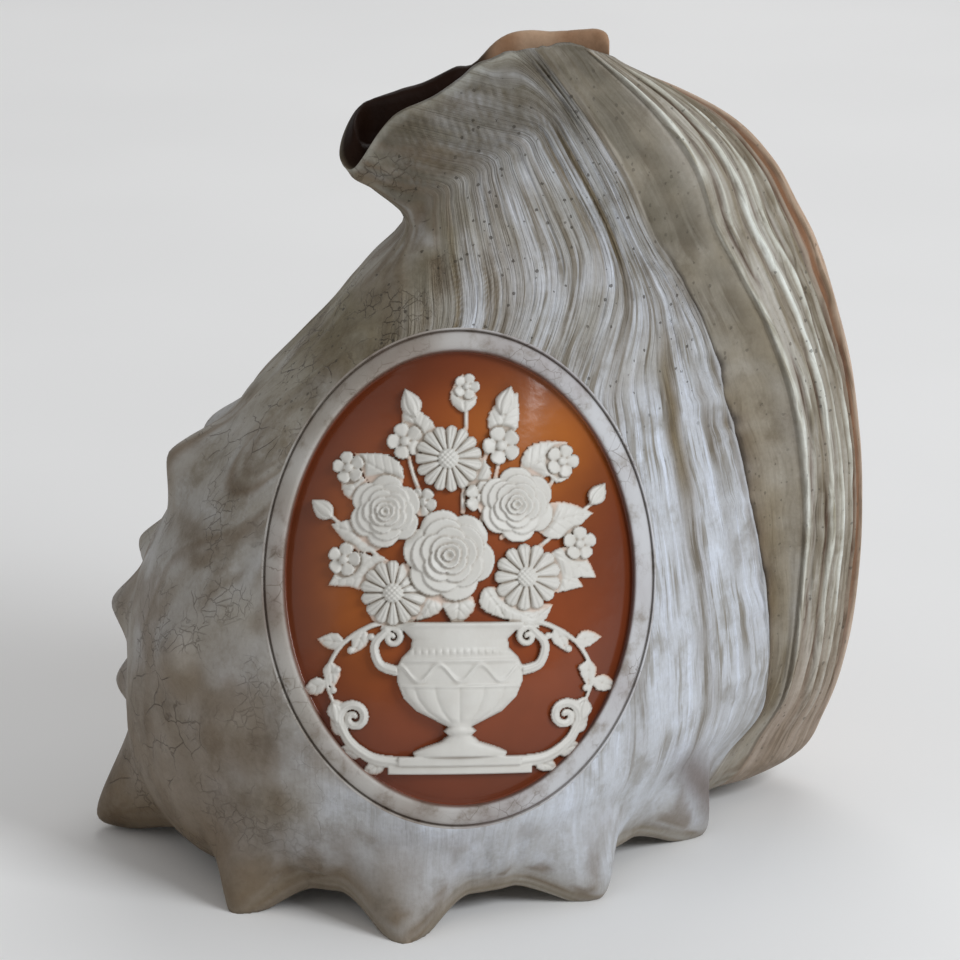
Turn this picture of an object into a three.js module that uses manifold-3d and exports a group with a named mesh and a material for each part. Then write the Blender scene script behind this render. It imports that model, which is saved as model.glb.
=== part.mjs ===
// A carved helmet shell, sold as a carved conch, standing on its ring of shoulder knobs.
// Millimetres. +X is the side of the outer lip, +Y points away from the carved face, +Z is up
// and the floor is z = 0. The spire is underneath, and the siphonal canal is on top.

import * as THREE from "three";
import { mergeVertices } from "three/addons/utils/BufferGeometryUtils.js";
import Module from "manifold-3d";

const wasm = await Module();
wasm.setup();

// The whorl's outline at each height, as the points that it passes through, seen from above. The
// crease and the ridge run behind the thick outer lip, whose rim is the edge. The slot is the
// mouth of the aperture, with its width and depth.
const outline = (z, left, front, crease, ridge, edge, back, slot, width, depth) => ({
  z, left, front, crease, ridge, edge, back, slot, width, depth,
});
const WALL = [
  outline(9, [-63, 3], [2, -58], [71, 5], [79, 14], [96.5, 34], [8, 50], [64, 44], 8, 2),
  outline(18, [-68, 3], [2, -63], [77, 6], [84, 14], [101, 34], [8, 52], [65, 46], 13, 22),
  outline(31, [-70, 3], [2, -65.5], [85, 7], [90, 11], [104.6, 32.5], [8, 52.5], [66, 47], 15, 36),
  outline(56, [-68.5, 4], [1, -65], [85.5, 5], [93, 9], [108.2, 31], [6, 52], [67, 47], 16, 42),
  outline(82, [-58.5, 3], [1, -58], [81, 2], [93.8, 7], [108.3, 29.5], [6, 50], [66, 46], 16, 42),
  outline(108, [-41.5, 0], [3, -48], [75, -2], [90, 4.5], [105, 27], [8, 47], [63, 43], 16, 38),
  outline(127, [-23.5, -3], [7, -38.5], [70, -5], [83.5, 2.5], [100.5, 25], [12, 42], [59, 38], 15, 32),
  outline(141, [-12, -6], [12, -31], [64, -8], [76.5, 0.5], [96, 23.5], [18, 36], [56, 33], 14, 26),
  outline(152, [-3, -8], [17, -26], [57.5, -10], [71, -1.5], [91, 21], [22, 30], [54, 28.5], 13, 20),
];

// Above the neck the outline turns into the rim of the canal, whose height changes along it.
const NECK = WALL[WALL.length - 1].z;
const CANAL = [
  outline(1 / 3, [-2.5, -8], [15, -23], [51, -12], [66, -4], [84.5, 18], [23, 26], [52, 24], 12, 16),
  outline(2 / 3, [-9, -6], [11, -19], [42, -13], [56, -6.5], [72.5, 14], [22, 22.5], [51, 20], 11, 12),
  outline(1, [-17, -4], [6, -16], [31, -13], [40, -8], [50, 7], [22, 19], [50, 15], 9, 8),
];
// Heights of the canal's rim, from the lip's edge round the front and the hook to the aperture.
const RIM = [
  188, 192, 195.5, 197, 197, 197, 196.3, 193, 186.5, 180, 168,
  171.5, 178.5, 182, 182.5, 193, 194, 194, 180, 174, 179, 184, 186.5,
];

// The spire under the shoulder: the share of the shoulder's outline and the height of each turn.
const SPIRE = [
  [0, 3], [0.08, 3.5], [0.25, 6], [0.42, 9.5], [0.5, 12], [0.6, 10], [0.72, 13.5], [0.84, 8], [0.94, 5.5],
];
const SPIRE_CENTRE = [4, -2];
const SPIRE_RADIUS = 62;
// Small knobs stand round the second turn, on a circle about the spire's centre.
const SPIRE_KNOBS = { count: 9, radius: 37, z: 10, spread: 9, height: 3.5 };

// Knobs: the foot on the shell, the tip that it grows out to, and the foot's spread.
const knob = (foot, tip, spread) => ({
  foot: new THREE.Vector3(...foot),
  grow: new THREE.Vector3(...tip).sub(new THREE.Vector3(...foot)),
  spread,
});
const KNOBS = [
  knob([-62, 2, 11], [-77, 0, 3], 18),
  knob([-37, -46, 8], [-42.5, -53, -2.5], 15),
  knob([-2, -57, 8], [-2, -70, -2.5], 16),
  knob([40, -44, 8], [48.5, -48, -3.5], 18),
  knob([65, -10, 9], [74, -6, -3], 17),
  knob([-42, 36, 8], [-48, 42, -3], 15),
  knob([4, 49, 7], [4, 53, -3], 15),
  knob([-52, -33, 56], [-55, -37, 58], 12),
  knob([-67, 8, 55], [-73, 9, 55.5], 11),
  knob([-61, 22, 66], [-66.5, 24, 66], 10),
  knob([-64, 22, 31], [-73.5, 24, 29.5], 14),
  knob([-51, 0, 93], [-58, -1, 96], 16),
  knob([-42, 22, 92], [-50, 26, 94], 13),
];
for (let k = 0; k < SPIRE_KNOBS.count; k++) {
  const turn = (2 * Math.PI * k) / SPIRE_KNOBS.count;
  const x = SPIRE_CENTRE[0] + SPIRE_KNOBS.radius * Math.cos(turn);
  const y = SPIRE_CENTRE[1] + SPIRE_KNOBS.radius * Math.sin(turn);
  const { z, height, spread } = SPIRE_KNOBS;
  KNOBS.push(knob([x, y, z], [x, y, z - height], spread));
}

// Growth ridges run down the back of the outer lip, and teeth stand along its inner rim.
const RIDGES = { count: 3.5, height: 1.1 };
const TEETH = { count: 11, low: 22, high: 150, height: 2.2 };

// The carved oval, cut in along an axis that leans back with the face.
const PANEL = {
  tilt: THREE.MathUtils.degToRad(18),
  x: 11,
  up: 62.3,
  halfWidth: 40,
  halfHeight: 51.8,
  rim: 4.5,
  groove: 1.8,
  grooveDepth: 1.1,
  depth: 3,
};

// The carving in relief: flowers and leaves over a footed urn, placed across and up from the
// middle of the oval. A flower is round with a raised heart, and a leaf points along its turn.
const flower = (x, y, radius, height) => ({ x, y, radius, height });
const leaf = (x, y, length, width, turn) => ({ x, y, length, width, turn });
const FLOWERS = [
  flower(-1, 6, 11, 4.5),
  flower(-18, -2, 8.5, 3.6),
  flower(17, 0, 8.5, 3.4),
  flower(-11, 24, 8, 3.6),
  flower(11, 23, 8.5, 3.6),
  flower(-25, 14, 6, 2.8),
  flower(26, 15, 6, 2.8),
  flower(0, 38, 6, 2.8),
];
const LEAVES = [
  leaf(-28, -8, 9, 4, 200),
  leaf(28, -7, 9, 4, -20),
  leaf(-22, 27, 9, 4, 135),
  leaf(23, 28, 9, 4, 45),
  leaf(-9, 37, 8, 3.5, 115),
  leaf(9, 36, 8, 3.5, 65),
  leaf(-20, -15, 9, 4, 235),
  leaf(20, -14, 9, 4, -55),
  leaf(0, -8, 8, 4, 270),
  leaf(-32, 4, 7, 3, 170),
  leaf(33, 5, 7, 3, 10),
];
// The urn's outline up one side: the foot, the stem, the bowl, the neck and the lip.
const URN = [
  [13, -45], [13, -41], [5, -38.5], [3, -35.5], [9, -33], [13, -28], [14, -23], [11, -17], [12, -12],
];
const URN_HEIGHT = 2.6;
const LEAF_HEIGHT = 1.6;

// Where the outlines run closest together the surface needs the most columns.
const COLUMNS = [4, 5, 3, 3, 1, 4, 5, 5, 5, 5, 5, 4, 4, 3, 1, 2, 2, 1, 2, 2, 1, 2, 3];
const ROWS = [1, 1, 1, 1, 1, 1, 1, 2, 2, 3, 4, 4, 4, 3, 3, 2, 2, 2, 2, 1, 1, 1, 1, 1];

const lerp = THREE.MathUtils.lerp;
const mix = (a, b, t) => a.map((value, i) => lerp(value, b[i], t));

// The control points of one outline, from the lip's edge clockwise to the lip's inner face.
function outlinePoints({ left, front, crease, ridge, edge, back, slot, width, depth }) {
  const step = [crease[0] - 2.5, crease[1] - 2];
  const rightOfFront = (t) => [
    lerp(front[0], step[0], t),
    lerp(front[1], step[1], t * t),
  ];
  const leftOfFront = (degrees) => {
    const turn = THREE.MathUtils.degToRad(degrees);
    return [
      lerp(front[0], left[0], Math.sin(turn)),
      lerp(left[1], front[1], Math.cos(turn)),
    ];
  };
  const leftOfBack = (degrees) => {
    const turn = THREE.MathUtils.degToRad(degrees);
    return [
      lerp(back[0], left[0], Math.cos(turn) ** 0.8),
      lerp(left[1], back[1], Math.sin(turn) ** 0.8),
    ];
  };
  const shieldEdge = leftOfBack(64);
  const columella = [slot[0] - width / 2, slot[1]];
  const teeth = [slot[0] + width / 2, slot[1] + 1];
  const lipBack = mix(ridge, edge, 0.5);
  const channel = mix(crease, ridge, 0.5);
  const lipFace = mix(teeth, edge, 0.5);
  return [
    edge,
    [lipBack[0] + 2.5, lipBack[1] - 2],
    ridge,
    [channel[0] + 0.5, channel[1] + 1.5],
    crease,
    step,
    rightOfFront(0.72),
    rightOfFront(0.38),
    front,
    leftOfFront(30),
    leftOfFront(60),
    left,
    leftOfBack(32),
    [shieldEdge[0] - 1.5, shieldEdge[1] - 2],
    shieldEdge,
    back,
    [lerp(back[0], columella[0], 0.6), lerp(back[1], columella[1], 0.35)],
    columella,
    [columella[0] - 1, slot[1] - depth / 2],
    [slot[0] - 3, slot[1] - depth],
    [teeth[0] - 1, slot[1] - depth / 2],
    teeth,
    [lipFace[0], lipFace[1] + 0.22 * (edge[0] - teeth[0])],
  ];
}

// A point of the spire at a share of the way out, on a ring that is rounder nearer the middle.
function spirePoint(rimPoint, share) {
  const out = new THREE.Vector2(...rimPoint).sub(new THREE.Vector2(...SPIRE_CENTRE));
  const round = out.clone().setLength(SPIRE_RADIUS);
  out.lerpVectors(round, out, share ** 2).multiplyScalar(share);
  return [SPIRE_CENTRE[0] + out.x, SPIRE_CENTRE[1] + out.y];
}

// The cage: rings of points from the spire's tip, over the wall, into the canal.
function buildCage() {
  const rings = [];
  const shoulder = outlinePoints(WALL[0]);
  for (const [share, z] of SPIRE) {
    rings.push(shoulder.map((point) => [...spirePoint(point, share), z]));
  }
  for (const section of WALL) {
    rings.push(outlinePoints(section).map((point) => [...point, section.z]));
  }
  for (const section of CANAL) {
    rings.push(
      outlinePoints(section).map((point, i) => [...point, lerp(NECK, RIM[i], section.z)]),
    );
  }
  const rim = rings[rings.length - 1];
  const floorLine = (x) => {
    const along = THREE.MathUtils.clamp((x + 5) / 50, 0, 1);
    return [lerp(-5, 45, along), -8 + 14 * along ** 1.3, 167 + 6 * along];
  };
  const inward = (wall, drop) =>
    rim.map((point) => {
      const floor = floorLine(point[0]);
      const reach = Math.hypot(floor[0] - point[0], floor[1] - point[1]);
      const share = Math.min(wall / reach, 0.85);
      return [
        lerp(point[0], floor[0], share),
        lerp(point[1], floor[1], share),
        Math.max(lerp(point[2], floor[2], drop), floor[2]),
      ];
    });
  rings.push(inward(3, 0.02), inward(4.5, 0.4), inward(7, 0.95));
  const sink = floorLine(18);
  rings.push(rim.map(() => sink));
  return rings;
}

// Distances between neighbouring rings or columns, added up, as the knots of a smooth curve.
function knotsAlong(count, distance) {
  const knots = [0];
  for (let i = 1; i < count; i++) {
    knots.push(knots[i - 1] + distance(i));
  }
  return knots;
}

// A smooth curve through values at uneven knots, read at parameter t of span i.
function hermite(knots, values, i, t) {
  const span = knots[i + 1] - knots[i];
  const slope = (k) => {
    const before = Math.max(k - 1, 0);
    const after = Math.min(k + 1, knots.length - 1);
    return (values[after] - values[before]) / (knots[after] - knots[before]);
  };
  const square = t * t;
  const cube = square * t;
  return (
    (2 * cube - 3 * square + 1) * values[i] +
    (cube - 2 * square + t) * span * slope(i) +
    (3 * square - 2 * cube) * values[i + 1] +
    (cube - square) * span * slope(i + 1)
  );
}

function curvePoint(knots, points, i, t) {
  return [0, 1, 2].map((axis) => hermite(knots, points.map((point) => point[axis]), i, t));
}

// Where each row or column of the grid lies, with fewer of them on a coarser grid.
function gridLines(counts, coarseness) {
  const lines = [];
  counts.forEach((count, span) => {
    const kept = Math.max(1, Math.round(count / coarseness));
    for (let k = 0; k < kept; k++) {
      lines.push({ span, t: k / kept });
    }
  });
  return lines;
}

// The grid of surface points: rows of columns, each row a closed ring.
function surfaceGrid(coarseness) {
  const cage = buildCage();
  const width = cage[0].length;
  const widest = cage[SPIRE.length + 3];
  const around = (i) => ((i % width) + width) % width;
  const acrossKnots = knotsAlong(width + 3, (i) => {
    const here = widest[around(i - 1)];
    const before = widest[around(i - 2)];
    return Math.hypot(here[0] - before[0], here[1] - before[1]);
  });
  const upKnots = knotsAlong(cage.length, (j) => {
    const lengths = cage[j].map(([x, y, z], i) => {
      const below = cage[j - 1][i];
      return Math.hypot(x - below[0], y - below[1], z - below[2]);
    });
    return Math.max(lengths.reduce((sum, length) => sum + length, 0) / width, 1);
  });
  const columns = gridLines(COLUMNS, coarseness);
  const rows = gridLines(ROWS, coarseness);
  rows.push({ span: ROWS.length - 1, t: 1 });
  return rows.map((row) =>
    columns.map((column) => {
      const meridians = [];
      for (let k = -1; k < 3; k++) {
        const line = cage.map((ring) => ring[around(column.span + k)]);
        meridians.push(curvePoint(upKnots, line, row.span, row.t));
      }
      const knots = acrossKnots.slice(column.span, column.span + 4);
      const point = curvePoint(knots, meridians, 1, column.t);
      return raised(new THREE.Vector3(...point), column, row);
    }),
  );
}

// Knobs, lip ridges and lip teeth, raised on a point of the smooth surface.
function raised(point, column, row) {
  const base = point.clone();
  for (const { foot, grow, spread } of KNOBS) {
    const away = base.distanceTo(foot) / spread;
    if (away < 1) {
      point.addScaledVector(grow, (1 - away) ** 1.9 * (1 + 1.2 * away));
    }
  }
  const onWall = row.span >= SPIRE.length && base.z > 12;
  if (onWall && column.span < 2) {
    const fromRidge = 1 - (column.span + column.t) / 2;
    const wave = Math.cos(2 * Math.PI * RIDGES.count * fromRidge);
    const fade = Math.sin(Math.PI * fromRidge) * Math.min((base.z - 12) / 25, 1);
    point.addScaledVector(new THREE.Vector3(0.75, -0.65, 0), RIDGES.height * wave * fade);
  }
  if (column.span === 21 || (column.span === 20 && column.t > 0.4)) {
    const along = (base.z - TEETH.low) / (TEETH.high - TEETH.low);
    if (along > 0 && along < 1) {
      const fade = Math.min(1, 8 * along * (1 - along));
      point.x -= TEETH.height * fade * Math.cos(2 * Math.PI * TEETH.count * along);
    }
  }
  return point;
}

// One closed mesh from the grid, with the first and last rows drawn together to a point.
function skin(grid) {
  const width = grid[0].length;
  const positions = [];
  const faces = [];
  const centres = [grid[0][0], grid[grid.length - 1][0]];
  const rings = grid.slice(1, -1);
  rings.forEach((ring) => ring.forEach((p) => positions.push(p.x, p.y, p.z)));
  centres.forEach((p) => positions.push(p.x, p.y, p.z));
  const bottom = rings.length * width;
  const top = bottom + 1;
  for (let i = 0; i < width; i++) {
    const next = (i + 1) % width;
    for (let j = 0; j + 1 < rings.length; j++) {
      const corner = j * width;
      const above = corner + width;
      faces.push(corner + i, above + i, corner + next);
      faces.push(corner + next, above + i, above + next);
    }
    const last = (rings.length - 1) * width;
    faces.push(bottom, i, next);
    faces.push(top, last + next, last + i);
  }
  const geometry = new THREE.BufferGeometry();
  geometry.setAttribute("position", new THREE.Float32BufferAttribute(positions, 3));
  geometry.setIndex(faces);
  return geometry;
}

// A closed surface, made ready for joining and cutting.
function solid(geometry) {
  const bare = geometry.clone();
  bare.deleteAttribute("normal");
  bare.deleteAttribute("uv");
  const merged = mergeVertices(bare, 1e-4);
  return new wasm.Manifold(
    new wasm.Mesh({
      numProp: 3,
      vertProperties: merged.attributes.position.array,
      triVerts: new Uint32Array(merged.index.array),
    }),
  );
}

function geometryOf(manifold) {
  const mesh = manifold.getMesh();
  const geometry = new THREE.BufferGeometry();
  geometry.setAttribute("position", new THREE.BufferAttribute(mesh.vertProperties, 3));
  geometry.setIndex(new THREE.BufferAttribute(mesh.triVerts, 1));
  geometry.computeVertexNormals();
  return geometry;
}

// An oval column along the carving's axis, from inside the shell out past its face.
function ovalColumn(grow) {
  const shape = new THREE.Shape();
  shape.absellipse(0, 0, PANEL.halfWidth + grow, PANEL.halfHeight + grow, 0, 2 * Math.PI);
  const column = new THREE.ExtrudeGeometry(shape, { depth: 90, curveSegments: 18, bevelEnabled: false });
  column.applyMatrix4(panelFrame);
  return solid(column);
}

const outward = new THREE.Vector3(0, -Math.cos(PANEL.tilt), Math.sin(PANEL.tilt));
const upward = new THREE.Vector3(0, Math.sin(PANEL.tilt), Math.cos(PANEL.tilt));
const panelOrigin = new THREE.Vector3(PANEL.x, 0, 0)
  .addScaledVector(upward, PANEL.up)
  .addScaledVector(outward, 35);
const panelFrame = new THREE.Matrix4()
  .makeBasis(new THREE.Vector3(1, 0, 0), upward, outward)
  .setPosition(panelOrigin);

// The point of the sunk ground under a place of the carving, with the way that the ground faces.
function onGround(ground, x, y) {
  const start = new THREE.Vector3(x, y, 90).applyMatrix4(panelFrame);
  const ray = new THREE.Raycaster(start, outward.clone().negate());
  const hit = ray.intersectObject(ground)[0];
  return { point: hit.point, normal: hit.face.normal };
}

// A low dome or a pointed lozenge, seated on the ground and turned in its plane.
function seated(ground, shape, x, y, turn) {
  const { point, normal } = onGround(ground, x, y);
  const side = new THREE.Vector3(1, 0, 0).projectOnPlane(normal).normalize();
  const up = new THREE.Vector3().crossVectors(normal, side);
  const frame = new THREE.Matrix4().makeBasis(side, up, normal).setPosition(point);
  shape.rotateZ(THREE.MathUtils.degToRad(turn));
  return solid(shape.applyMatrix4(frame));
}

function flowerSolids(ground, { x, y, radius, height }) {
  const petals = new THREE.SphereGeometry(1, 8, 4).rotateX(Math.PI / 2).scale(radius, radius, height);
  const heart = new THREE.OctahedronGeometry(1, 1).scale(radius * 0.45, radius * 0.45, height * 1.35);
  return [seated(ground, petals, x, y, 0), seated(ground, heart, x, y, 30)];
}

function leafSolid(ground, { x, y, length, width, turn }) {
  const blade = new THREE.OctahedronGeometry(1, 0).scale(length, width, LEAF_HEIGHT);
  return seated(ground, blade, x, y, turn);
}

// The urn keeps its own outline and follows the ground, standing out from it by one height.
function urnSolid() {
  const shape = new THREE.Shape();
  URN.forEach(([x, y], i) => (i === 0 ? shape.moveTo(x, y) : shape.lineTo(x, y)));
  [...URN].reverse().forEach(([x, y]) => shape.lineTo(-x, y));
  const slab = new THREE.ExtrudeGeometry(shape, { depth: 60, bevelEnabled: false });
  slab.applyMatrix4(panelFrame);
  return solid(slab).intersect(movedIn(PANEL.depth - URN_HEIGHT));
}

const body = solid(skin(surfaceGrid(1)));
const plainBody = solid(skin(surfaceGrid(2)));
const movedIn = (depth) => plainBody.translate(...outward.clone().multiplyScalar(-depth).toArray());
const groove = ovalColumn(PANEL.rim + PANEL.groove)
  .subtract(ovalColumn(PANEL.rim))
  .subtract(movedIn(PANEL.grooveDepth));
const sunk = movedIn(PANEL.depth);
const recess = ovalColumn(0).subtract(sunk);
const floorBlock = new THREE.BoxGeometry(400, 400, 50).translate(0, 0, -25);
let carved = body.subtract(groove).subtract(recess).subtract(solid(floorBlock));

const ground = new THREE.Mesh(geometryOf(sunk));
carved = carved.add(urnSolid());
for (const place of LEAVES) {
  carved = carved.add(leafSolid(ground, place));
}
for (const place of FLOWERS) {
  flowerSolids(ground, place).forEach((lump) => {
    carved = carved.add(lump);
  });
}

// The finished shell stands with the middle of its outline over the origin.
const finished = geometryOf(carved);
finished.computeBoundingBox();
const middle = finished.boundingBox.getCenter(new THREE.Vector3());
finished.translate(-middle.x, -middle.y, -finished.boundingBox.min.z);

const shell = new THREE.Mesh(
  finished,
  new THREE.MeshStandardMaterial({ color: "#b9b2a4", roughness: 0.55, metalness: 0 }),
);
shell.name = "shell";

const helmetShell = new THREE.Group();
helmetShell.add(shell);

export default helmetShell;
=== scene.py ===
# A carved helmet shell standing on its crown of knobs. The shapes are worked out in millimetres
# in the same control points as the solid, and the pieces are made in metres.
import math

import bpy
import numpy as np
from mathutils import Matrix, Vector
from mathutils.bvhtree import BVHTree


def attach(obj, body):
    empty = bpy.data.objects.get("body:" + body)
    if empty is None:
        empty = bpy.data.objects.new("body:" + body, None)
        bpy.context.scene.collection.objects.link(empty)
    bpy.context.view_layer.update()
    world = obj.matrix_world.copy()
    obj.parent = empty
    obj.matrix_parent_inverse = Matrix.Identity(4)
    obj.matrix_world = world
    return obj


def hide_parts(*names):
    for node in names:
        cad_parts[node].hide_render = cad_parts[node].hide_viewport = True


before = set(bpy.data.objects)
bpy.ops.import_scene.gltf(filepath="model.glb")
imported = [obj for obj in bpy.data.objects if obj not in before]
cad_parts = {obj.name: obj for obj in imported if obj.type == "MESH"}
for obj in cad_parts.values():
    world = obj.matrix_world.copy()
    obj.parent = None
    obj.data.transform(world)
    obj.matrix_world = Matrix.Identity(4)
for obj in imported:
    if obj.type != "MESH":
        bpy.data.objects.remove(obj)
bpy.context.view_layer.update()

# The middle of the solid's outline, before it was moved over the origin.
MIDDLE = np.array([15.862, -7.927, 0.0])
MM = 0.001


# Control points

# One outline of the whorl: its height, left, front, crease, ridge, edge, back and slot, and the
# slot's width and depth.
WALL = [
    (9, (-63, 3), (2, -58), (71, 5), (79, 14), (96.5, 34), (8, 50), (64, 44), 8, 2),
    (18, (-68, 3), (2, -63), (77, 6), (84, 14), (101, 34), (8, 52), (65, 46), 13, 22),
    (31, (-70, 3), (2, -65.5), (85, 7), (90, 11), (104.6, 32.5), (8, 52.5), (66, 47), 15, 36),
    (56, (-68.5, 4), (1, -65), (85.5, 5), (93, 9), (108.2, 31), (6, 52), (67, 47), 16, 42),
    (82, (-58.5, 3), (1, -58), (81, 2), (93.8, 7), (108.3, 29.5), (6, 50), (66, 46), 16, 42),
    (108, (-41.5, 0), (3, -48), (75, -2), (90, 4.5), (105, 27), (8, 47), (63, 43), 16, 38),
    (127, (-23.5, -3), (7, -38.5), (70, -5), (83.5, 2.5), (100.5, 25), (12, 42), (59, 38), 15, 32),
    (141, (-12, -6), (12, -31), (64, -8), (76.5, 0.5), (96, 23.5), (18, 36), (56, 33), 14, 26),
    (152, (-3, -8), (17, -26), (57.5, -10), (71, -1.5), (91, 21), (22, 30), (54, 28.5), 13, 20),
]
NECK = WALL[-1][0]
# The same for the canal, with the share of the way from the neck to the rim in place of the height.
CANAL = [
    (1 / 3, (-2.5, -8), (15, -23), (51, -12), (66, -4), (84.5, 18), (23, 26), (52, 24), 12, 16),
    (2 / 3, (-9, -6), (11, -19), (42, -13), (56, -6.5), (72.5, 14), (22, 22.5), (51, 20), 11, 12),
    (1, (-17, -4), (6, -16), (31, -13), (40, -8), (50, 7), (22, 19), (50, 15), 9, 8),
]
# The rim's height at each control point around it, from the lip's edge round the front.
RIM = [
    188, 192, 195.5, 197, 197, 197, 196.3, 193, 186.5, 180, 168,
    171.5, 178.5, 182, 182.5, 193, 194, 194, 180, 174, 179, 184, 186.5,
]
# Shares of the way out from the spire's centre to the shoulder, with the height there.
SPIRE = [
    (0, 3), (0.08, 3.5), (0.25, 6), (0.42, 9.5), (0.5, 12), (0.6, 10), (0.72, 13.5), (0.84, 8),
    (0.94, 5.5),
]
SPIRE_CENTRE = np.array([4.0, -2.0])
SPIRE_RADIUS = 62
SPIRE_KNOBS = dict(count=9, radius=37, z=10, spread=9, height=3.5)
# Each knob's foot on the whorl, its tip and how far it spreads.
KNOBS = [
    ((-62, 2, 11), (-77, 0, 3), 18),
    ((-37, -46, 8), (-42.5, -53, -2.5), 15),
    ((-2, -57, 8), (-2, -70, -2.5), 16),
    ((40, -44, 8), (48.5, -48, -3.5), 18),
    ((65, -10, 9), (74, -6, -3), 17),
    ((-42, 36, 8), (-48, 42, -3), 15),
    ((4, 49, 7), (4, 53, -3), 15),
    ((-52, -33, 56), (-55, -37, 58), 12),
    ((-67, 8, 55), (-73, 9, 55.5), 11),
    ((-61, 22, 66), (-66.5, 24, 66), 10),
    ((-64, 22, 31), (-73.5, 24, 29.5), 14),
    ((-51, 0, 93), (-58, -1, 96), 16),
    ((-42, 22, 92), (-50, 26, 94), 13),
]
for k in range(SPIRE_KNOBS["count"]):
    turn = 2 * math.pi * k / SPIRE_KNOBS["count"]
    x, y = SPIRE_CENTRE + SPIRE_KNOBS["radius"] * np.array([math.cos(turn), math.sin(turn)])
    z = SPIRE_KNOBS["z"]
    KNOBS.append(((x, y, z), (x, y, z - SPIRE_KNOBS["height"]), SPIRE_KNOBS["spread"]))
TEETH = dict(count=11, low=22, high=150, height=2.2)
FOLDS = dict(count=19, slant=0.3, height=0.45)

# The oval: its tilt, its middle across and up, the ground's half sizes, and the depths.
TILT = math.radians(18)
OUTWARD = np.array([0, -math.cos(TILT), math.sin(TILT)])
UPWARD = np.array([0, math.sin(TILT), math.cos(TILT)])
OVAL_X, OVAL_UP = 11.0, 62.3
OVAL_A, OVAL_B = 40.0, 51.8
BAND = 5.6
GROUND_DEPTH = 3.0


def lerp(a, b, t):
    return a + (b - a) * t


def eased(t):
    return t * t * (3 - 2 * t)


def smooth(low, high, x):
    return eased(np.clip((x - low) / (high - low), 0, 1))


def bump_at(x, centre, width):
    return np.exp(-(((x - centre) / width) ** 2))


def outline_points(section):
    _, left, front, crease, ridge, edge, back, slot, width, depth = section
    left, front, crease, ridge, edge, back, slot = map(
        np.array, (left, front, crease, ridge, edge, back, slot)
    )
    step = crease + (-2.5, -2)

    def right_of_front(t):
        return np.array([lerp(front[0], step[0], t), lerp(front[1], step[1], t * t)])

    def left_of_front(degrees):
        a = math.radians(degrees)
        return np.array([lerp(front[0], left[0], math.sin(a)), lerp(left[1], front[1], math.cos(a))])

    def left_of_back(degrees):
        a = math.radians(degrees)
        return np.array(
            [lerp(back[0], left[0], math.cos(a) ** 0.8), lerp(left[1], back[1], math.sin(a) ** 0.8)]
        )

    shield = left_of_back(64)
    columella = slot + (-width / 2, 0)
    teeth = slot + (width / 2, 1)
    lip_face = (teeth + edge) / 2
    return np.array([
        edge,
        (ridge + edge) / 2 + (2.5, -2),
        ridge,
        (crease + ridge) / 2 + (0.5, 1.5),
        crease,
        step,
        right_of_front(0.72),
        right_of_front(0.38),
        front,
        left_of_front(30),
        left_of_front(60),
        left,
        left_of_back(32),
        shield + (-1.5, -2),
        shield,
        back,
        (lerp(back[0], columella[0], 0.6), lerp(back[1], columella[1], 0.35)),
        columella,
        columella + (-1, -depth / 2),
        slot + (-3, -depth),
        teeth + (-1, -1 - depth / 2),
        teeth,
        lip_face + (0, 0.22 * (edge[0] - teeth[0])),
    ])


def build_cage():
    rings = []
    shoulder = outline_points(WALL[0])
    for share, z in SPIRE:
        out = shoulder - SPIRE_CENTRE
        unit = out / np.linalg.norm(out, axis=1, keepdims=True)
        out = lerp(unit * SPIRE_RADIUS, out, share**2) * share
        rings.append(np.column_stack([SPIRE_CENTRE + out, np.full(len(out), z)]))
    for section in WALL:
        points = outline_points(section)
        rings.append(np.column_stack([points, np.full(len(points), section[0])]))
    rim_heights = np.array(RIM)
    for section in CANAL:
        rings.append(
            np.column_stack([outline_points(section), lerp(NECK, rim_heights, section[0])])
        )
    rim = rings[-1]

    def floor_line(x):
        along = np.clip((x + 5) / 50, 0, 1)
        return np.stack([lerp(-5, 45, along), -8 + 14 * along**1.3, 167 + 6 * along], axis=-1)

    floor = floor_line(rim[:, 0])
    reach = np.hypot(*(floor - rim)[:, :2].T)
    for wall, drop in ((3, 0.02), (4.5, 0.4), (7, 0.95)):
        share = np.minimum(wall / reach, 0.85)
        x = lerp(rim[:, 0], floor[:, 0], share)
        y = lerp(rim[:, 1], floor[:, 1], share)
        z = np.maximum(lerp(rim[:, 2], floor[:, 2], drop), floor[:, 2])
        rings.append(np.column_stack([x, y, z]))
    rings.append(np.repeat(floor_line(np.array([18.0])), len(rim), axis=0))
    return np.array(rings)


# Smooth surface through the control points

def curve_matrix(places, gaps, closed):
    """Weights that turn control values into a smooth curve's values at each (span, t)."""
    size = len(gaps) if closed else len(gaps) + 1
    matrix = np.zeros((len(places), size))

    def at(i):
        return i % size if closed else min(max(i, 0), size - 1)

    def gap(i):
        if closed:
            return gaps[i % size]
        return gaps[i] if 0 <= i < len(gaps) else 0.0

    for row, (i, t) in enumerate(places):
        span = gap(i)
        square, cube = t * t, t * t * t
        ends = (2 * cube - 3 * square + 1, 3 * square - 2 * cube)
        slopes = (cube - 2 * square + t, cube - square)
        for k, (value, slope) in enumerate(zip(ends, slopes)):
            here = i + k
            across = gap(here - 1) + gap(here)
            matrix[row, at(here)] += value
            matrix[row, at(here + 1)] += slope * span / across
            matrix[row, at(here - 1)] -= slope * span / across
    return matrix


def grid_lines(counts):
    return [(i, k / n) for i, n in enumerate(counts) for k in range(n)]


CAGE = build_cage()
WIDEST = CAGE[len(SPIRE) + 3]
ACROSS = np.hypot(*(np.roll(WIDEST, -1, axis=0) - WIDEST)[:, :2].T)
UP = np.maximum(np.linalg.norm(np.diff(CAGE, axis=0), axis=2).mean(axis=1), 1)

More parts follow.
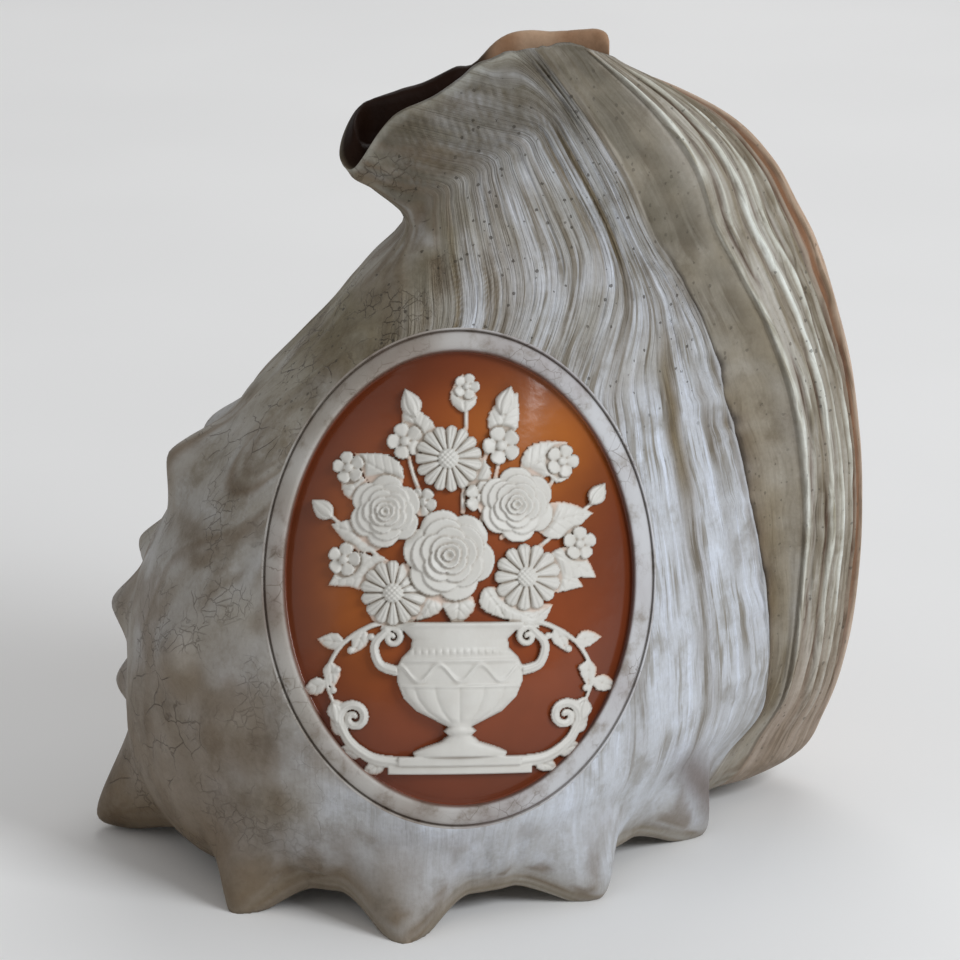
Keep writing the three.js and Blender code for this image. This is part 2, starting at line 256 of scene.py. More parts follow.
# Columns between neighbouring control points, from the lip's edge round the front, and rows
# from the spire's tip over the wall into the canal.
FINE_COLUMNS = [26, 30, 9, 12, 10, 38, 34, 30, 30, 30, 28, 20, 22, 4, 14, 14, 11, 7, 7, 7, 7, 14, 16]
FINE_ROWS = [4, 7, 8, 5, 5, 6, 7, 6, 5, 9, 14, 26, 26, 25, 18, 14, 11, 10, 10, 10, 4, 4, 3, 3]
GRID_COLUMNS = grid_lines(FINE_COLUMNS)
GRID_ROWS = grid_lines(FINE_ROWS) + [(len(FINE_ROWS) - 1, 1.0)]
COLUMN = np.array([i + t for i, t in GRID_COLUMNS])[None, :]
ROW = np.array([i + t for i, t in GRID_ROWS])[:, None]

# Places that the details are tied to, as column and row numbers of the control points. Column 0
# is the lip's edge, 15 the back, 17 the columella, 19 the slot, 21 the teeth and 22 the lip's face.
C_RIDGE, C_CHANNEL, C_CREASE, C_STEP, C_FRONT, C_LEFT, C_SHIELD = 2, 3, 4, 5, 8, 11, 13
R_SHOULDER = len(SPIRE)
R_NECK = R_SHOULDER + len(WALL) - 1
R_RIM = R_NECK + len(CANAL)


def columns_between(low, full, last_full, high):
    """1 over the columns from full to last_full, and 0 before low and after high."""
    return smooth(low, full, COLUMN) * (1 - smooth(last_full, high, COLUMN))


def rows_above(low, full):
    """0 below the low row and 1 above the full one, both counted from the shoulder."""
    return smooth(R_SHOULDER + low, R_SHOULDER + full, ROW)


def rim_rows(low, full):
    """0 below the low row and 1 above the full one, both counted from the canal's rim."""
    return smooth(R_RIM + low, R_RIM + full, ROW)


def weave(column_places, row_places):
    across = curve_matrix(column_places, ACROSS, True)
    up = curve_matrix(row_places, UP, False)
    return np.einsum("rj,jik,ci->rck", up, CAGE, across)


# Repeatable noise

def table(seed):
    return np.random.RandomState(seed).rand(4096)


def noise1(x, seed):
    whole = np.floor(x).astype(int)
    t = eased(x - whole)
    values = table(seed)
    return lerp(values[whole % 4096], values[(whole + 1) % 4096], t) * 2 - 1


def noise2(x, y, seed):
    xi, yi = np.floor(x).astype(int), np.floor(y).astype(int)
    tx, ty = eased(x - xi), eased(y - yi)
    values = table(seed)

    def corner(i, j):
        return values[(i * 57 + j * 997 + 31 * ((i * j) % 61)) % 4096]

    low = lerp(corner(xi, yi), corner(xi + 1, yi), tx)
    high = lerp(corner(xi, yi + 1), corner(xi + 1, yi + 1), tx)
    return lerp(low, high, ty) * 2 - 1


# Shell surface

def grid_normals(points):
    along = np.empty_like(points)
    along[1:-1] = points[2:] - points[:-2]
    along[0], along[-1] = points[1] - points[0], points[-1] - points[-2]
    across = np.roll(points, -1, axis=1) - np.roll(points, 1, axis=1)
    normals = np.cross(along, across)
    length = np.linalg.norm(normals, axis=2, keepdims=True)
    return normals / np.maximum(length, 1e-9)


def oval_place(points):
    """Across, up and outward of the oval's frame, in millimetres, from the middle of the oval."""
    return points[..., 0] - OVAL_X, points @ UPWARD - OVAL_UP, points @ OUTWARD


base = weave(GRID_COLUMNS, GRID_ROWS)
normals = grid_normals(base)
front_column = GRID_COLUMNS.index((C_FRONT, 0.0))
if normals[len(GRID_ROWS) // 2, front_column] @ OUTWARD < 0:
    normals = -normals
# A and B are each point's place across and up the oval's frame.
A, B, _ = oval_place(base)

# Added to what only the columns or only the rows decide, this gives a value for every point.
EVERYWHERE = 0 * COLUMN + 0 * ROW
# Millimetres round the whorl, which growth lines lie across, and millimetres up it.
growth_mm = np.concatenate([[0], np.cumsum(ACROSS)])
along_mm = np.concatenate([[0], np.cumsum(UP)])
GROWTH = np.interp(COLUMN, np.arange(len(growth_mm)), growth_mm) + EVERYWHERE
ALONG = np.interp(ROW, np.arange(len(along_mm)), along_mm) + EVERYWHERE

# Below the hook the growth lines fan down from a fold. Above it they run level out to the hook.
# The fold and the fan's far focus are places of the oval's frame.
FOLD_START = np.array([-11.1, 85.2])
FOLD_ALONG = np.array([0.868, 0.497])
FOLD_ABOVE = np.array([-0.497, 0.868])
FAN_FOCUS = np.array([-11.0, 154.0])
FAN_SCALE = 3.0
FAN_SHIFT = 14
FAN_MIDDLE = 17


def fan_lines(a, b):
    """The growth coordinate near the hook, and how far it counts there."""
    from_start = np.stack([a, b], axis=-1) - FOLD_START
    above = from_start @ FOLD_ABOVE
    along_fold = from_start @ FOLD_ALONG
    focus = FAN_FOCUS - FOLD_START
    share = np.clip(-above / (focus @ FOLD_ABOVE - above), 0, 1)
    below_line = lerp(along_fold, focus @ FOLD_ALONG, share)
    line = lerp(below_line, along_fold + above, smooth(-4, 5, above))
    counts = (1 - smooth(22, 62, -above)) * (1 - smooth(30, 46, along_fold))
    return growth_mm[C_FRONT] + FAN_SHIFT - FAN_SCALE * (line - FAN_MIDDLE), counts


on_front = columns_between(4.6, 5.6, 9.4, 10.6) * rows_above(3, 5)
fan_growth, fan_counts = fan_lines(A, B)
GROWTH = lerp(GROWTH, fan_growth, fan_counts * on_front)
above_fold_line = (np.stack([A, B], axis=-1) - FOLD_START) @ FOLD_ABOVE

# Growth lines wander a little, and LINE holds the line that each point lies on.
wander = noise2(ALONG / 23, GROWTH / 40, 3) + 0.5 * noise2(ALONG / 7, GROWTH / 9, 4)
LINE = GROWTH + wander

wall_rows = rows_above(-0.6, 1.2) * (1 - rim_rows(-0.35, 0))
on_body = columns_between(C_CREASE, C_STEP, 12, C_SHIELD) + EVERYWHERE
on_lip = 1 - smooth(C_RIDGE - 0.1, C_RIDGE + 0.3, COLUMN) + EVERYWHERE
from_oval = np.hypot(A / (OVAL_A + BAND), B / (OVAL_B + BAND))
facing_oval = (COLUMN > 5) & (COLUMN < 12) & (ROW > R_SHOULDER) & (ROW < R_NECK)
clear_of_oval = np.where(facing_oval, smooth(1.0, 1.07, from_oval), 1.0)
crease_rows = rows_above(0.5, 2) * (1 - smooth(R_SHOULDER + 6.2, R_NECK + 0.8, ROW))

# Growth lines on the body: broad waves and narrow ones that come and go along their length.
strength = 0.35 + 0.65 * smooth(-0.3, 0.5, noise2(ALONG / 30, LINE / 25, 5))
right_side = 1 - smooth(C_FRONT - 0.6, C_FRONT + 1.2, COLUMN)
upper = rows_above(4.2, 6)
ruled = np.maximum(right_side, upper)
# On the left the lines fade out, where the fan passes into the lines of the whorl's back.
fan_edge = columns_between(8.5, 9.4, C_LEFT, 12) + EVERYWHERE
lined = (0.15 + 0.85 * ruled) * (1 - 0.9 * fan_edge)
broad_line = noise1(LINE / 3.1, 8)
narrow_line = noise1(LINE / 1.7, 6)
body_lines = (0.46 * broad_line + 0.3 * narrow_line) * strength * lined

# The lip's back: a tall ridge, then lower ones out to a groove before the smooth edge. Each rib
# has its share of the way out to the edge, its width there and its height.
lip_share = np.clip((C_RIDGE - COLUMN) / C_RIDGE, -1, 1) + 0.02 * noise2(ALONG / 14, COLUMN * 3, 9)
lip_share = lip_share + 0.012 * noise2(ALONG / 5, COLUMN * 5, 31)
RIBS = [
    (0.0, 0.055, 1.2), (0.1, 0.02, -0.35), (0.14, 0.022, 0.6), (0.2, 0.018, 0.5), (0.245, 0.02, -0.6),
    (0.3, 0.04, 1.0), (0.36, 0.016, -0.4), (0.4, 0.022, 0.5), (0.46, 0.026, 0.75), (0.51, 0.02, -0.5),
    (0.56, 0.02, 0.6), (0.62, 0.024, 0.7), (0.675, 0.02, -0.5), (0.71, 0.018, 0.4),
    (0.77, 0.04, -0.9), (0.9, 0.08, 0.5),
]
rib_rows = rows_above(0, 2.2) * (1 - rim_rows(-0.6, 0))
ribs = sum(height * bump_at(lip_share, at, width) for at, width, height in RIBS)
ribs = ribs + 0.35 * noise1(lip_share * 34, 35) * (1 - smooth(0.72, 0.8, lip_share))
ribs = ribs * rib_rows * (0.8 + 0.6 * noise2(ALONG / 18, COLUMN * 5, 10))
ribs = ribs * smooth(-0.35, -0.05, lip_share) * (COLUMN < 3.2)

# The crease, where an older lip's edge stands over the channel in a thin wavy line.
at_crease = COLUMN - C_CREASE - 0.16 * noise1(ALONG / 7, 33) - 0.07 * noise1(ALONG / 2.6, 34)
old_lip = smooth(0.3, 0.62, at_crease) * (1 - smooth(0.8, 1.35, at_crease))
channel = 1.6 * old_lip - 0.9 * bump_at(at_crease, 0.2, 0.14) - 0.4 * bump_at(at_crease, -0.4, 0.5)
channel = channel * crease_rows
channel = channel + 0.5 * noise2(ALONG / 16, COLUMN * 2.2, 32) * bump_at(COLUMN, 3.1, 0.8) * wall_rows

lumps = 0.7 * noise2(GROWTH / 17, ALONG / 19, 11) + 0.4 * noise2(GROWTH / 6.5, ALONG / 7.5, 12)
lumps = lumps * (1 - smooth(C_SHIELD, C_SHIELD + 0.5, COLUMN)) * (1 - 0.6 * right_side)
rise = (body_lines * on_body + channel + lumps * on_body) * wall_rows + ribs
under = (1 - rows_above(-1.2, 0)) * smooth(0.4, 2, ROW)
rise = rise + under * 0.3 * noise2(base[..., 0] / 5, base[..., 1] / 5, 13)

# The spire's whorls coil out from the apex to the lip, with a suture between them.
apex = base[0, 0]
shoulder_row = int(np.argmin(abs(ROW.ravel() - R_SHOULDER)))
from_apex = np.hypot(base[..., 0] - apex[0], base[..., 1] - apex[1])
spire_share = np.clip(from_apex / from_apex[shoulder_row], 0.01, 1.0)
turned = np.arctan2(base[..., 1] - apex[1], base[..., 0] - apex[0])
LIP_TURN = np.radians(25)
FIRST_SUTURE = 0.82
KNOBS_AROUND = 11
SUTURE_WIDTH = 0.05
before_lip = ((turned - LIP_TURN) % (2 * np.pi)) / (2 * np.pi) - 1
coil = np.log2(spire_share / FIRST_SUTURE) - before_lip
from_suture = coil - np.minimum(np.round(coil), 0)
near_apex = smooth(0.06, 0.2, spire_share)
suture = bump_at(from_suture, 0, SUTURE_WIDTH) * under * near_apex
across_whorl = np.clip(coil, -9, 0) % 1.0
on_whorls = (coil < 0) * under * spire_share
whorl_crest = 4 * across_whorl * (1 - across_whorl) * on_whorls
whorl_knobs = np.maximum(np.cos(KNOBS_AROUND * turned), 0) * bump_at(across_whorl, 0.5, 0.17)
whorl_knobs = whorl_knobs * on_whorls * near_apex
rise = rise + 1.6 * whorl_crest - 0.9 * suture + 1.6 * whorl_knobs
rise = rise * clear_of_oval

points = base + normals * rise[..., None]
for foot, tip, spread in KNOBS:
    away = np.linalg.norm(base - foot, axis=2) / spread
    grow = np.where(away < 1, (1 - np.minimum(away, 1)) ** 1.9 * (1 + 1.2 * away), 0)
    points = points + grow[..., None] * (np.array(tip) - np.array(foot))

# Teeth on the lip's inner rim, and folds on the columella across from them.
tooth_row = (base[..., 2] - TEETH["low"]) / (TEETH["high"] - TEETH["low"])
tooth_fade = np.clip(8 * tooth_row * (1 - tooth_row), 0, 1) * ((tooth_row > 0) & (tooth_row < 1))
tooth_wave = np.cos(2 * np.pi * TEETH["count"] * tooth_row)
on_teeth = columns_between(20.2, 20.8, 21.5, 22.2)
points[..., 0] -= TEETH["height"] * tooth_fade * tooth_wave * on_teeth
on_folds = columns_between(15.9, 16.6, 18.2, 18.8)
fold_wave = np.cos(2 * np.pi * FOLDS["count"] * tooth_row + FOLDS["slant"] * GROWTH)
points[..., 1] += FOLDS["height"] * tooth_fade * fold_wave * on_folds

# The canal's worn rim.
rim_band = bump_at(ROW, R_RIM + 0.4, 0.8)
worn = columns_between(1, 3, 17, 20)
wear = 0.35 * noise1(COLUMN * 2.3 + EVERYWHERE, 14) + 0.05 * noise1(COLUMN * 7 + EVERYWHERE, 15)
points[..., 2] += rim_band * worn * wear
# Beside the hook the rim stays low, and then steps up to the shield's thick top.
points[..., 2] -= 4.5 * bump_at(COLUMN, 14.5, 0.26) * rim_rows(-1.2, -0.2)
# Inside the hook the wall runs on evenly into the shield.
EVEN_REACH = 12
steps = range(-EVEN_REACH, EVEN_REACH + 1)
evened = np.mean([np.roll(points, step, axis=1) for step in steps], axis=0)
even_share = columns_between(12.2, 12.9, 14.3, 14.8) * rim_rows(-1.5, -0.4)
points = lerp(points, evened, even_share[..., None])
# At the hook's tip the hollow stays above the outside of the wall.
points[..., 2] += 5.5 * bump_at(COLUMN, C_LEFT, 1.1) * rim_rows(0.2, 1.4)
# Nothing goes below the floor that the shell stands on.
points[..., 2] = np.maximum(points[..., 2], 0)


# Colours

def colour(*rgb):
    """A linear colour from the 0 to 255 numbers of a display colour."""
    value = np.array(rgb) / 255
    return np.where(value <= 0.04045, value / 12.92, ((value + 0.055) / 1.055) ** 2.4)


def paint(under, over, share):
    return under + (over - under) * np.clip(share, 0, 1)[..., None]


def plain(tone):
    return np.broadcast_to(tone, base.shape)


def coats(tint, *layers):
    """The tint with each layer's colour painted over it, by the layer's share."""
    for over, share in layers:
        tint = paint(tint, over, share)
    return tint


def glow(a, b, middle_a, middle_b, half_a, half_b):
    """1 at the middle and falling off around it, over places a, b of the oval's frame."""
    return np.exp(-(((a - middle_a) / half_a) ** 2) - (((b - middle_b) / half_b) ** 2))


def spot(*place_and_size):
    return glow(A, B, *place_and_size) * (normals @ OUTWARD > 0)


DULL = colour(140, 131, 115)
CHALK = colour(166, 160, 149)
WHITE = colour(198, 202, 209)
# This brown serves for dirt and also for painted shade.
DIRT_AND_SHADE = colour(112, 95, 73)
STREAK = colour(118, 104, 80)
OLIVE = colour(122, 113, 86)
CHANNEL = colour(140, 130, 112)
# The hook's dark olive-brown, also used as painted shade at the channel's top.
HOOK_AND_CHANNEL_SHADE = colour(96, 89, 74)
LOW_LIP = colour(150, 133, 117)
RIDGE = colour(210, 210, 200)
RUST = colour(136, 94, 62)
TAN = colour(188, 158, 132)
BROWN = colour(84, 62, 45)
# Painted shade, in the crease and inside the canal.
PAINTED_SHADE = colour(33, 19, 12)
SALMON = colour(196, 158, 128)
CREAM = colour(210, 194, 170)


# Patches of colour lie over the wall, and over the plan of the spire underneath.
on_wall = rows_above(-1.0, 0.4)
PATCH_X = lerp(base[..., 0], GROWTH, on_wall)
PATCH_Y = lerp(base[..., 1], ALONG, on_wall)


def patches(size, seed):
    large = noise2(PATCH_X / size, PATCH_Y / size, seed)
    return 0.6 * large + 0.4 * noise2(PATCH_X / size * 2.3, PATCH_Y / size * 2.3, seed + 1)


def body_tint():
    clean = (right_side + 0.3) * on_body * rows_above(-0.4, 1.2) * (1 - 0.45 * upper)
    stripes = 0.55 * noise1(LINE / 2.6, 21) + 0.6 * noise1(LINE / 5.5, 22) + 0.2 * patches(14, 23)
    stripes = smooth(0.0, 0.75, stripes) * ruled * strength * rows_above(1, 3) * (1 - 0.92 * fan_edge)
    faces_front = normals @ OUTWARD > -0.3
    under_shade = 1 - rows_above(-1, 1.2)
    low_spots = smooth(0.05, 0.5, patches(6.5, 57)) * (1 - smooth(8, 30, base[..., 2]))
    left_streaks = smooth(0.15, 0.8, noise2(GROWTH / 3.2, ALONG / 34, 56)) * smooth(8.2, 9.4, COLUMN)
    return coats(
        plain(DULL),
        (CHALK, 0.5 + 0.9 * patches(22, 20)),
        (WHITE, clean + 0.35 * patches(14, 40)),
        (STREAK, 1.05 * stripes),
        (OLIVE, 0.6 * upper * smooth(-0.3, 0.5, patches(13, 24)) * (1 - 0.5 * right_side)),
        (HOOK_AND_CHANNEL_SHADE, 0.85 * smooth(-12, 6, above_fold_line) * upper * (0.8 + 0.5 * patches(6, 50))),
        (DIRT_AND_SHADE, 0.6 * smooth(-0.2, 0.6, patches(11, 42)) * (1 - 0.8 * right_side)),
        # Painted shade: the bottom towards the left and the underside are darkened with this brown.
        (DIRT_AND_SHADE, 0.45 * smooth(30, -30, A) * smooth(-52, -72, B)),
        (DIRT_AND_SHADE, under_shade * (0.3 + 0.5 * patches(8, 44))),
        (CHALK, 0.6 * np.clip(whorl_crest + whorl_knobs, 0, 1)),
        (BROWN, 0.65 * suture),
        (DIRT_AND_SHADE, 0.75 * low_spots * on_wall),
        (DIRT_AND_SHADE, 0.5 * left_streaks * on_wall),
        (BROWN, 0.8 * spot(55.5, -47.5, 5, 6) + 0.35 * spot(-57, -61, 6, 7)),
        (CHALK, 0.7 * spot(-36, -15, 8, 6) + 0.6 * spot(-40, 34, 7, 12)),
        # Painted shade: the lower left, where it faces front, is darkened.
        (DIRT_AND_SHADE, 0.8 * smooth(-24, -66, A) * smooth(14, -50, B) * faces_front),
        (OLIVE, 0.6 * spot(-30, 58, 16, 14)),
    )


def channel_tint(tint):
    # The channel's tone is partly its own colour and partly painted shade, and towards its top it is
    # darkened further with painted shade.
    channel_tone_and_shade = coats(
        plain(CHANNEL),
        (CHALK, 0.3 + 0.9 * patches(9, 46)),
        (HOOK_AND_CHANNEL_SHADE, channel_top_shade * (0.85 + 0.5 * patches(6, 53))),
    )
    # A streaky brown band along the crease, lower down.
    crease_band = bump_at(at_crease, -0.15, 0.75) * crease_rows * (1 - smooth(95, 125, base[..., 2]))
    return coats(
        tint,
        (channel_tone_and_shade, 0.9 * in_channel * np.maximum(0.3 + 0.7 * crease_rows, channel_top_shade)),
        (STREAK, 0.9 * crease_band * (0.7 + 0.6 * patches(9, 58))),
        # Painted shade: the crease itself is darkened brown and then nearly black.
        (BROWN, 0.35 * bump_at(at_crease, 0.0, 0.35) * crease_band),
        (PAINTED_SHADE, 0.95 * bump_at(at_crease, 0.2, 0.2) * crease_rows),
        (WHITE, 0.6 * bump_at(at_crease, 0.75, 0.3) * crease_rows),
    )


def lip_tint():
    gap_share = smooth(0.0, -0.32, ribs) * rib_rows * (0.8 + 0.6 * noise2(ALONG / 12, COLUMN * 6, 48))
    low_share = 0.85 * (1 - rows_above(1.2, 3.6)) * (1 - 0.6 * smooth(0.8, 0.9, lip_share))
    return coats(
        plain(CHALK),
        (STREAK, 0.5 + 0.8 * noise1(lip_share * 30, 25)),
        (RIDGE, smooth(0.12, 0.7, ribs)),
        (BROWN, gap_share),
        (RUST, 0.8 * bump_at(lip_share, 0.77, 0.06)),
        (TAN, 0.9 * smooth(0.8, 0.88, lip_share)),
        (SALMON, 0.6 * smooth(0.9, 1.0, lip_share)),
        (LOW_LIP, low_share),
    )


def mouth_tint(tint):
    shield = paint(plain(CREAM), SALMON, 0.5 + 0.8 * patches(22, 27))
    throat = columns_between(17.2, 18.2, 20.4, 21.2) * wall_rows
    between_teeth = smooth(0.1, 0.9, -tooth_wave) * tooth_fade * columns_between(20, 20.8, 21.6, 22.3)
    return coats(
        tint,
        (BROWN, 0.35 * bump_at(COLUMN + SHIELD_WAVE, C_SHIELD + 0.95, 0.22) * wall_rows),
        (shield, on_shield),
        (RUST, 0.85 * throat),
        (BROWN, 0.85 * between_teeth),
        (BROWN, 0.6 * smooth(0.2, 0.9, -fold_wave) * tooth_fade * on_folds),
    )


def canal_tint(tint):
    # Painted shade: the canal's inner wall and the floor that closes its hollow are painted dark.
    dark_start = 0.3 - 0.35 * columns_between(9.5, 10.5, 14.5, 14.8)
    shield_lip = columns_between(14.65, 14.9, 17.6, 18.4)
    face = paint(plain(TAN), RUST, 0.35 + 0.4 * noise1(COLUMN * 3 + EVERYWHERE, 52))
    return coats(
        tint,
        (PAINTED_SHADE, rim_rows(dark_start, dark_start + 0.6) + EVERYWHERE),
        (face, bump_at(ROW, R_RIM + 0.9, 1.2) * shield_lip),
        (CREAM, 0.8 * bump_at(ROW, R_RIM - 0.1, 0.35) * shield_lip),
        (RIDGE, 0.45 * bump_at(ROW, R_RIM, 0.12) * columns_between(5, 6, 10.2, 10.8)),
    )


# The shield's edge wanders a little.
SHIELD_WAVE = 0.13 * noise1(ALONG / 13, 54) + 0.06 * noise1(ALONG / 4, 55)
on_shield = smooth(C_SHIELD + 0.8, C_SHIELD + 1.4, COLUMN + SHIELD_WAVE) * wall_rows
in_channel = smooth(C_RIDGE + 0.1, C_CHANNEL, COLUMN) * (1 - smooth(0.15, 0.5, at_crease))
# Rows at the channel's top, where painted shade darkens the channel.
channel_top_shade = smooth(R_SHOULDER + 4, R_NECK + 0.5, ROW)
tint = lerp(channel_tint(body_tint()), lip_tint(), (on_lip * rows_above(-2.2, -0.6))[..., None])
tint = canal_tint(mouth_tint(tint))

# Shares that the shell's material reads at each point of the mesh.
lip_edge = smooth(0.8, 0.9, lip_share) * (COLUMN < 2)
left_side = columns_between(C_FRONT, 10, 12, C_SHIELD)
above_fold = smooth(-4, 8, above_fold_line) * on_body
in_canal = rim_rows(0, 0.6) + EVERYWHERE
line_share = on_body * (0.12 + 0.88 * ruled) * (0.12 + 0.88 * rows_above(0.8, 3))
line_share = line_share * (1 - 0.93 * fan_edge)
line_share = np.clip(line_share + on_lip + 0.6 * in_channel, 0, 1)
stain_share = 0.35 + 0.5 * left_side + 0.5 * upper + 0.5 * (1 - rows_above(0.5, 2)) - 0.3 * right_side
stain_share = np.clip(on_body * np.clip(stain_share, 0, 1) + 0.5 * above_fold, 0, 1)
SHARES = {
    "growth": LINE,
    "along": ALONG,
    "gloss": np.clip(0.15 + 0.3 * right_side * on_body + 0.8 * on_shield + 0.5 * lip_edge, 0, 1),
    "lines": line_share * (1 - in_canal) * (1 - 0.55 * above_fold) * (0.1 + 0.9 * on_wall),
    "craze": np.clip(0.65 * left_side + spot(-30, 58, 18, 13), 0, 1) * (1 - in_canal),
    "pits": np.clip(upper * on_body + 0.7 * on_lip + 0.6 * in_channel, 0, 1) * wall_rows,
    "stain": stain_share * (1 - in_canal),
    "inside": in_canal,
}


# Meshes

def grid_faces(rows, columns, closed=False):
    """The corner numbers of every face between neighbouring points of a grid."""
    index = np.arange(rows * columns).reshape(rows, columns)
    if closed:
        index = np.column_stack([index, index[:, 0]])
    corners = (index[:-1, :-1], index[:-1, 1:], index[1:, 1:], index[1:, :-1])
    return np.stack(corners, axis=-1).reshape(-1, 4)


def make_piece(name, vertices_mm, faces, material, attributes):
    mesh = bpy.data.meshes.new(name)
    mesh.from_pydata(((vertices_mm - MIDDLE) * MM).tolist(), [], faces)
    mesh.validate()
    for key, values in attributes.items():
        values = np.asarray(values, dtype=np.float32)
        if values.ndim == 2:
            layer = mesh.attributes.new(key, "FLOAT_COLOR", "POINT")
            rgba = np.ones((len(values), 4), dtype=np.float32)
            rgba[:, :3] = values
            layer.data.foreach_set("color", rgba.ravel())
        else:
            layer = mesh.attributes.new(key, "FLOAT", "POINT")
            layer.data.foreach_set("value", values)
    mesh.polygons.foreach_set("use_smooth", [True] * len(mesh.polygons))
    mesh.materials.append(material)
    mesh.update()
    piece = bpy.data.objects.new(name, mesh)
    bpy.context.scene.collection.objects.link(piece)
    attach(piece, "root")
    return piece


class Nodes:
    """A material's node tree, with one short call for each kind of node."""

    def __init__(self, name):
        self.material = bpy.data.materials.new(name)
        self.material.use_nodes = True
        self.tree = self.material.node_tree
        self.shader = self.tree.nodes["Principled BSDF"]

    def add(self, kind, inputs=None, **settings):
        node = self.tree.nodes.new(kind)
        for key, value in settings.items():
            setattr(node, key, value)
        for key, value in (inputs or {}).items():
            self.link(value, node.inputs[key])
        return node

    def link(self, value, socket):
        if isinstance(value, bpy.types.NodeSocket):
            self.tree.links.new(value, socket)
        else:
            socket.default_value = value

    def attribute(self, name, colour_output=False):
        node = self.add("ShaderNodeAttribute", attribute_name=name)
        return node.outputs["Color" if colour_output else "Fac"]

    def place(self):
        return self.add("ShaderNodeTexCoord").outputs["Object"]

    def math(self, operation, a, b):
        return self.add("ShaderNodeMath", {0: a, 1: b}, operation=operation).outputs[0]

    def times(self, first, *others):
        for other in others:
            first = self.math("MULTIPLY", first, other)
        return first

    def total(self, first, *others):
        for other in others:
            first = self.math("ADD", first, other)
        return first

    def moved(self, vector, by):
        return self.add("ShaderNodeVectorMath", {0: vector, 1: by}, operation="ADD").outputs[0]

    def noise(self, vector, scale, detail=3.0, rough=0.55):
        inputs = {"Vector": vector, "Scale": scale, "Detail": detail, "Roughness": rough}
        return self.add("ShaderNodeTexNoise", inputs).outputs["Fac"]

    def range(self, value, low, high, to_low=0.0, to_high=1.0):
        inputs = {0: value, 1: low, 2: high, 3: to_low, 4: to_high}
        node = self.add("ShaderNodeMapRange", inputs, interpolation_type="SMOOTHSTEP")
        return node.outputs[0]

    def mix(self, share, a, b, blend="MIX"):
        node = self.add("ShaderNodeMix", data_type="RGBA", blend_type=blend)
        for index, value in ((0, share), (6, a), (7, b)):
            if isinstance(value, tuple):
                value = (*value, 1.0)
            self.link(value, node.inputs[index])
        return node.outputs[2]

    def layers(self, coat, *layers):
        """The coat with each layer's colour mixed in over it, by the layer's share."""
        for share, tone in layers:
            coat = self.mix(share, coat, tone)
        return coat

    def combine(self, x, y, z=0.0):
        return self.add("ShaderNodeCombineXYZ", {0: x, 1: y, 2: z}).outputs[0]

    def bump(self, height, strength, distance):
        inputs = {"Height": height, "Strength": strength, "Distance": distance}
        return self.add("ShaderNodeBump", inputs).outputs[0]

    def surface(self, **inputs):
        """Sets inputs of the shader, named with underscores for the spaces in their names."""
        for key, value in inputs.items():
            self.link(value, self.shader.inputs[key.replace("_", " ")])
        return self.material


def shell_material():
    n = Nodes("shell_chalk")
    place = n.place()
    growth, along, lines = n.attribute("growth"), n.attribute("along"), n.attribute("lines")
    craze, gloss, inside = n.attribute("craze"), n.attribute("gloss"), n.attribute("inside")

    def line_noise(stretch, scale, detail):
        """Noise that is narrow across the growth lines and long along them."""
        return n.noise(n.combine(growth, n.times(along, stretch)), scale, detail)

    broad = line_noise(0.055, 0.3, 3.0)
    fine = line_noise(0.07, 0.75, 2.0)
    on_lines = n.times(lines, n.range(line_noise(0.5, 0.09, 2.0), 0.35, 0.6))
    mottle = n.noise(place, 95.0, 7.0, 0.65)
    grain = n.noise(place, 900.0, 3.0)
    stain = n.times(n.range(n.noise(place, 26.0, 9.0, 0.72), 0.5, 0.66), n.attribute("stain"))
    hairs = n.times(cracks(n, place, 330.0, 0.06, 70.0), craze)
    crack = n.times(cracks(n, place, 105.0, 0.022, 60.0), craze)
    crack = n.math("MAXIMUM", crack, n.times(hairs, 0.8))
    pit = pits(n, place)

    tint = n.attribute("tint", True)
    darker = n.mix(1.0, tint, (0.42, 0.36, 0.27), "MULTIPLY")
    lighter = n.mix(1.0, tint, (1.3, 1.34, 1.42), "MULTIPLY")
    stained = n.mix(1.0, tint, (0.5, 0.42, 0.3), "MULTIPLY")
    coat = n.layers(
        tint,
        (n.times(n.range(broad, 0.53, 0.6), on_lines, 0.9), darker),
        (n.times(n.range(fine, 0.54, 0.62), on_lines, 0.6), darker),
        (n.times(n.range(broad, 0.47, 0.36), lines, 0.75), lighter),
        (n.times(stain, 0.75), stained),
        (n.range(mottle, 0.5, 0.72, 0.0, 0.55), darker),
        (n.range(mottle, 0.48, 0.3, 0.0, 0.45), lighter),
        (n.range(grain, 0.35, 0.7, 0.0, 0.12), darker),
        (n.times(crack, 0.85), (0.06, 0.038, 0.02)),
        # Painted shade: the worm holes are painted nearly black inside.
        (n.times(pit, 0.72), (0.04, 0.03, 0.018)),
    )
    height = n.total(
        n.times(fine, lines, 0.75),
        n.times(broad, lines, 0.9),
        n.times(mottle, 0.5),
        n.times(grain, 0.05),
        n.times(crack, -0.3),
        n.times(pit, -0.5),
    )
    return n.surface(
        Base_Color=coat,
        Roughness=n.range(gloss, 0.0, 1.0, 0.6, 0.3),
        Normal=n.bump(height, 0.85, 0.0014),
        Specular_IOR_Level=n.range(inside, 0.0, 1.0, 0.4, 0.06),
    )


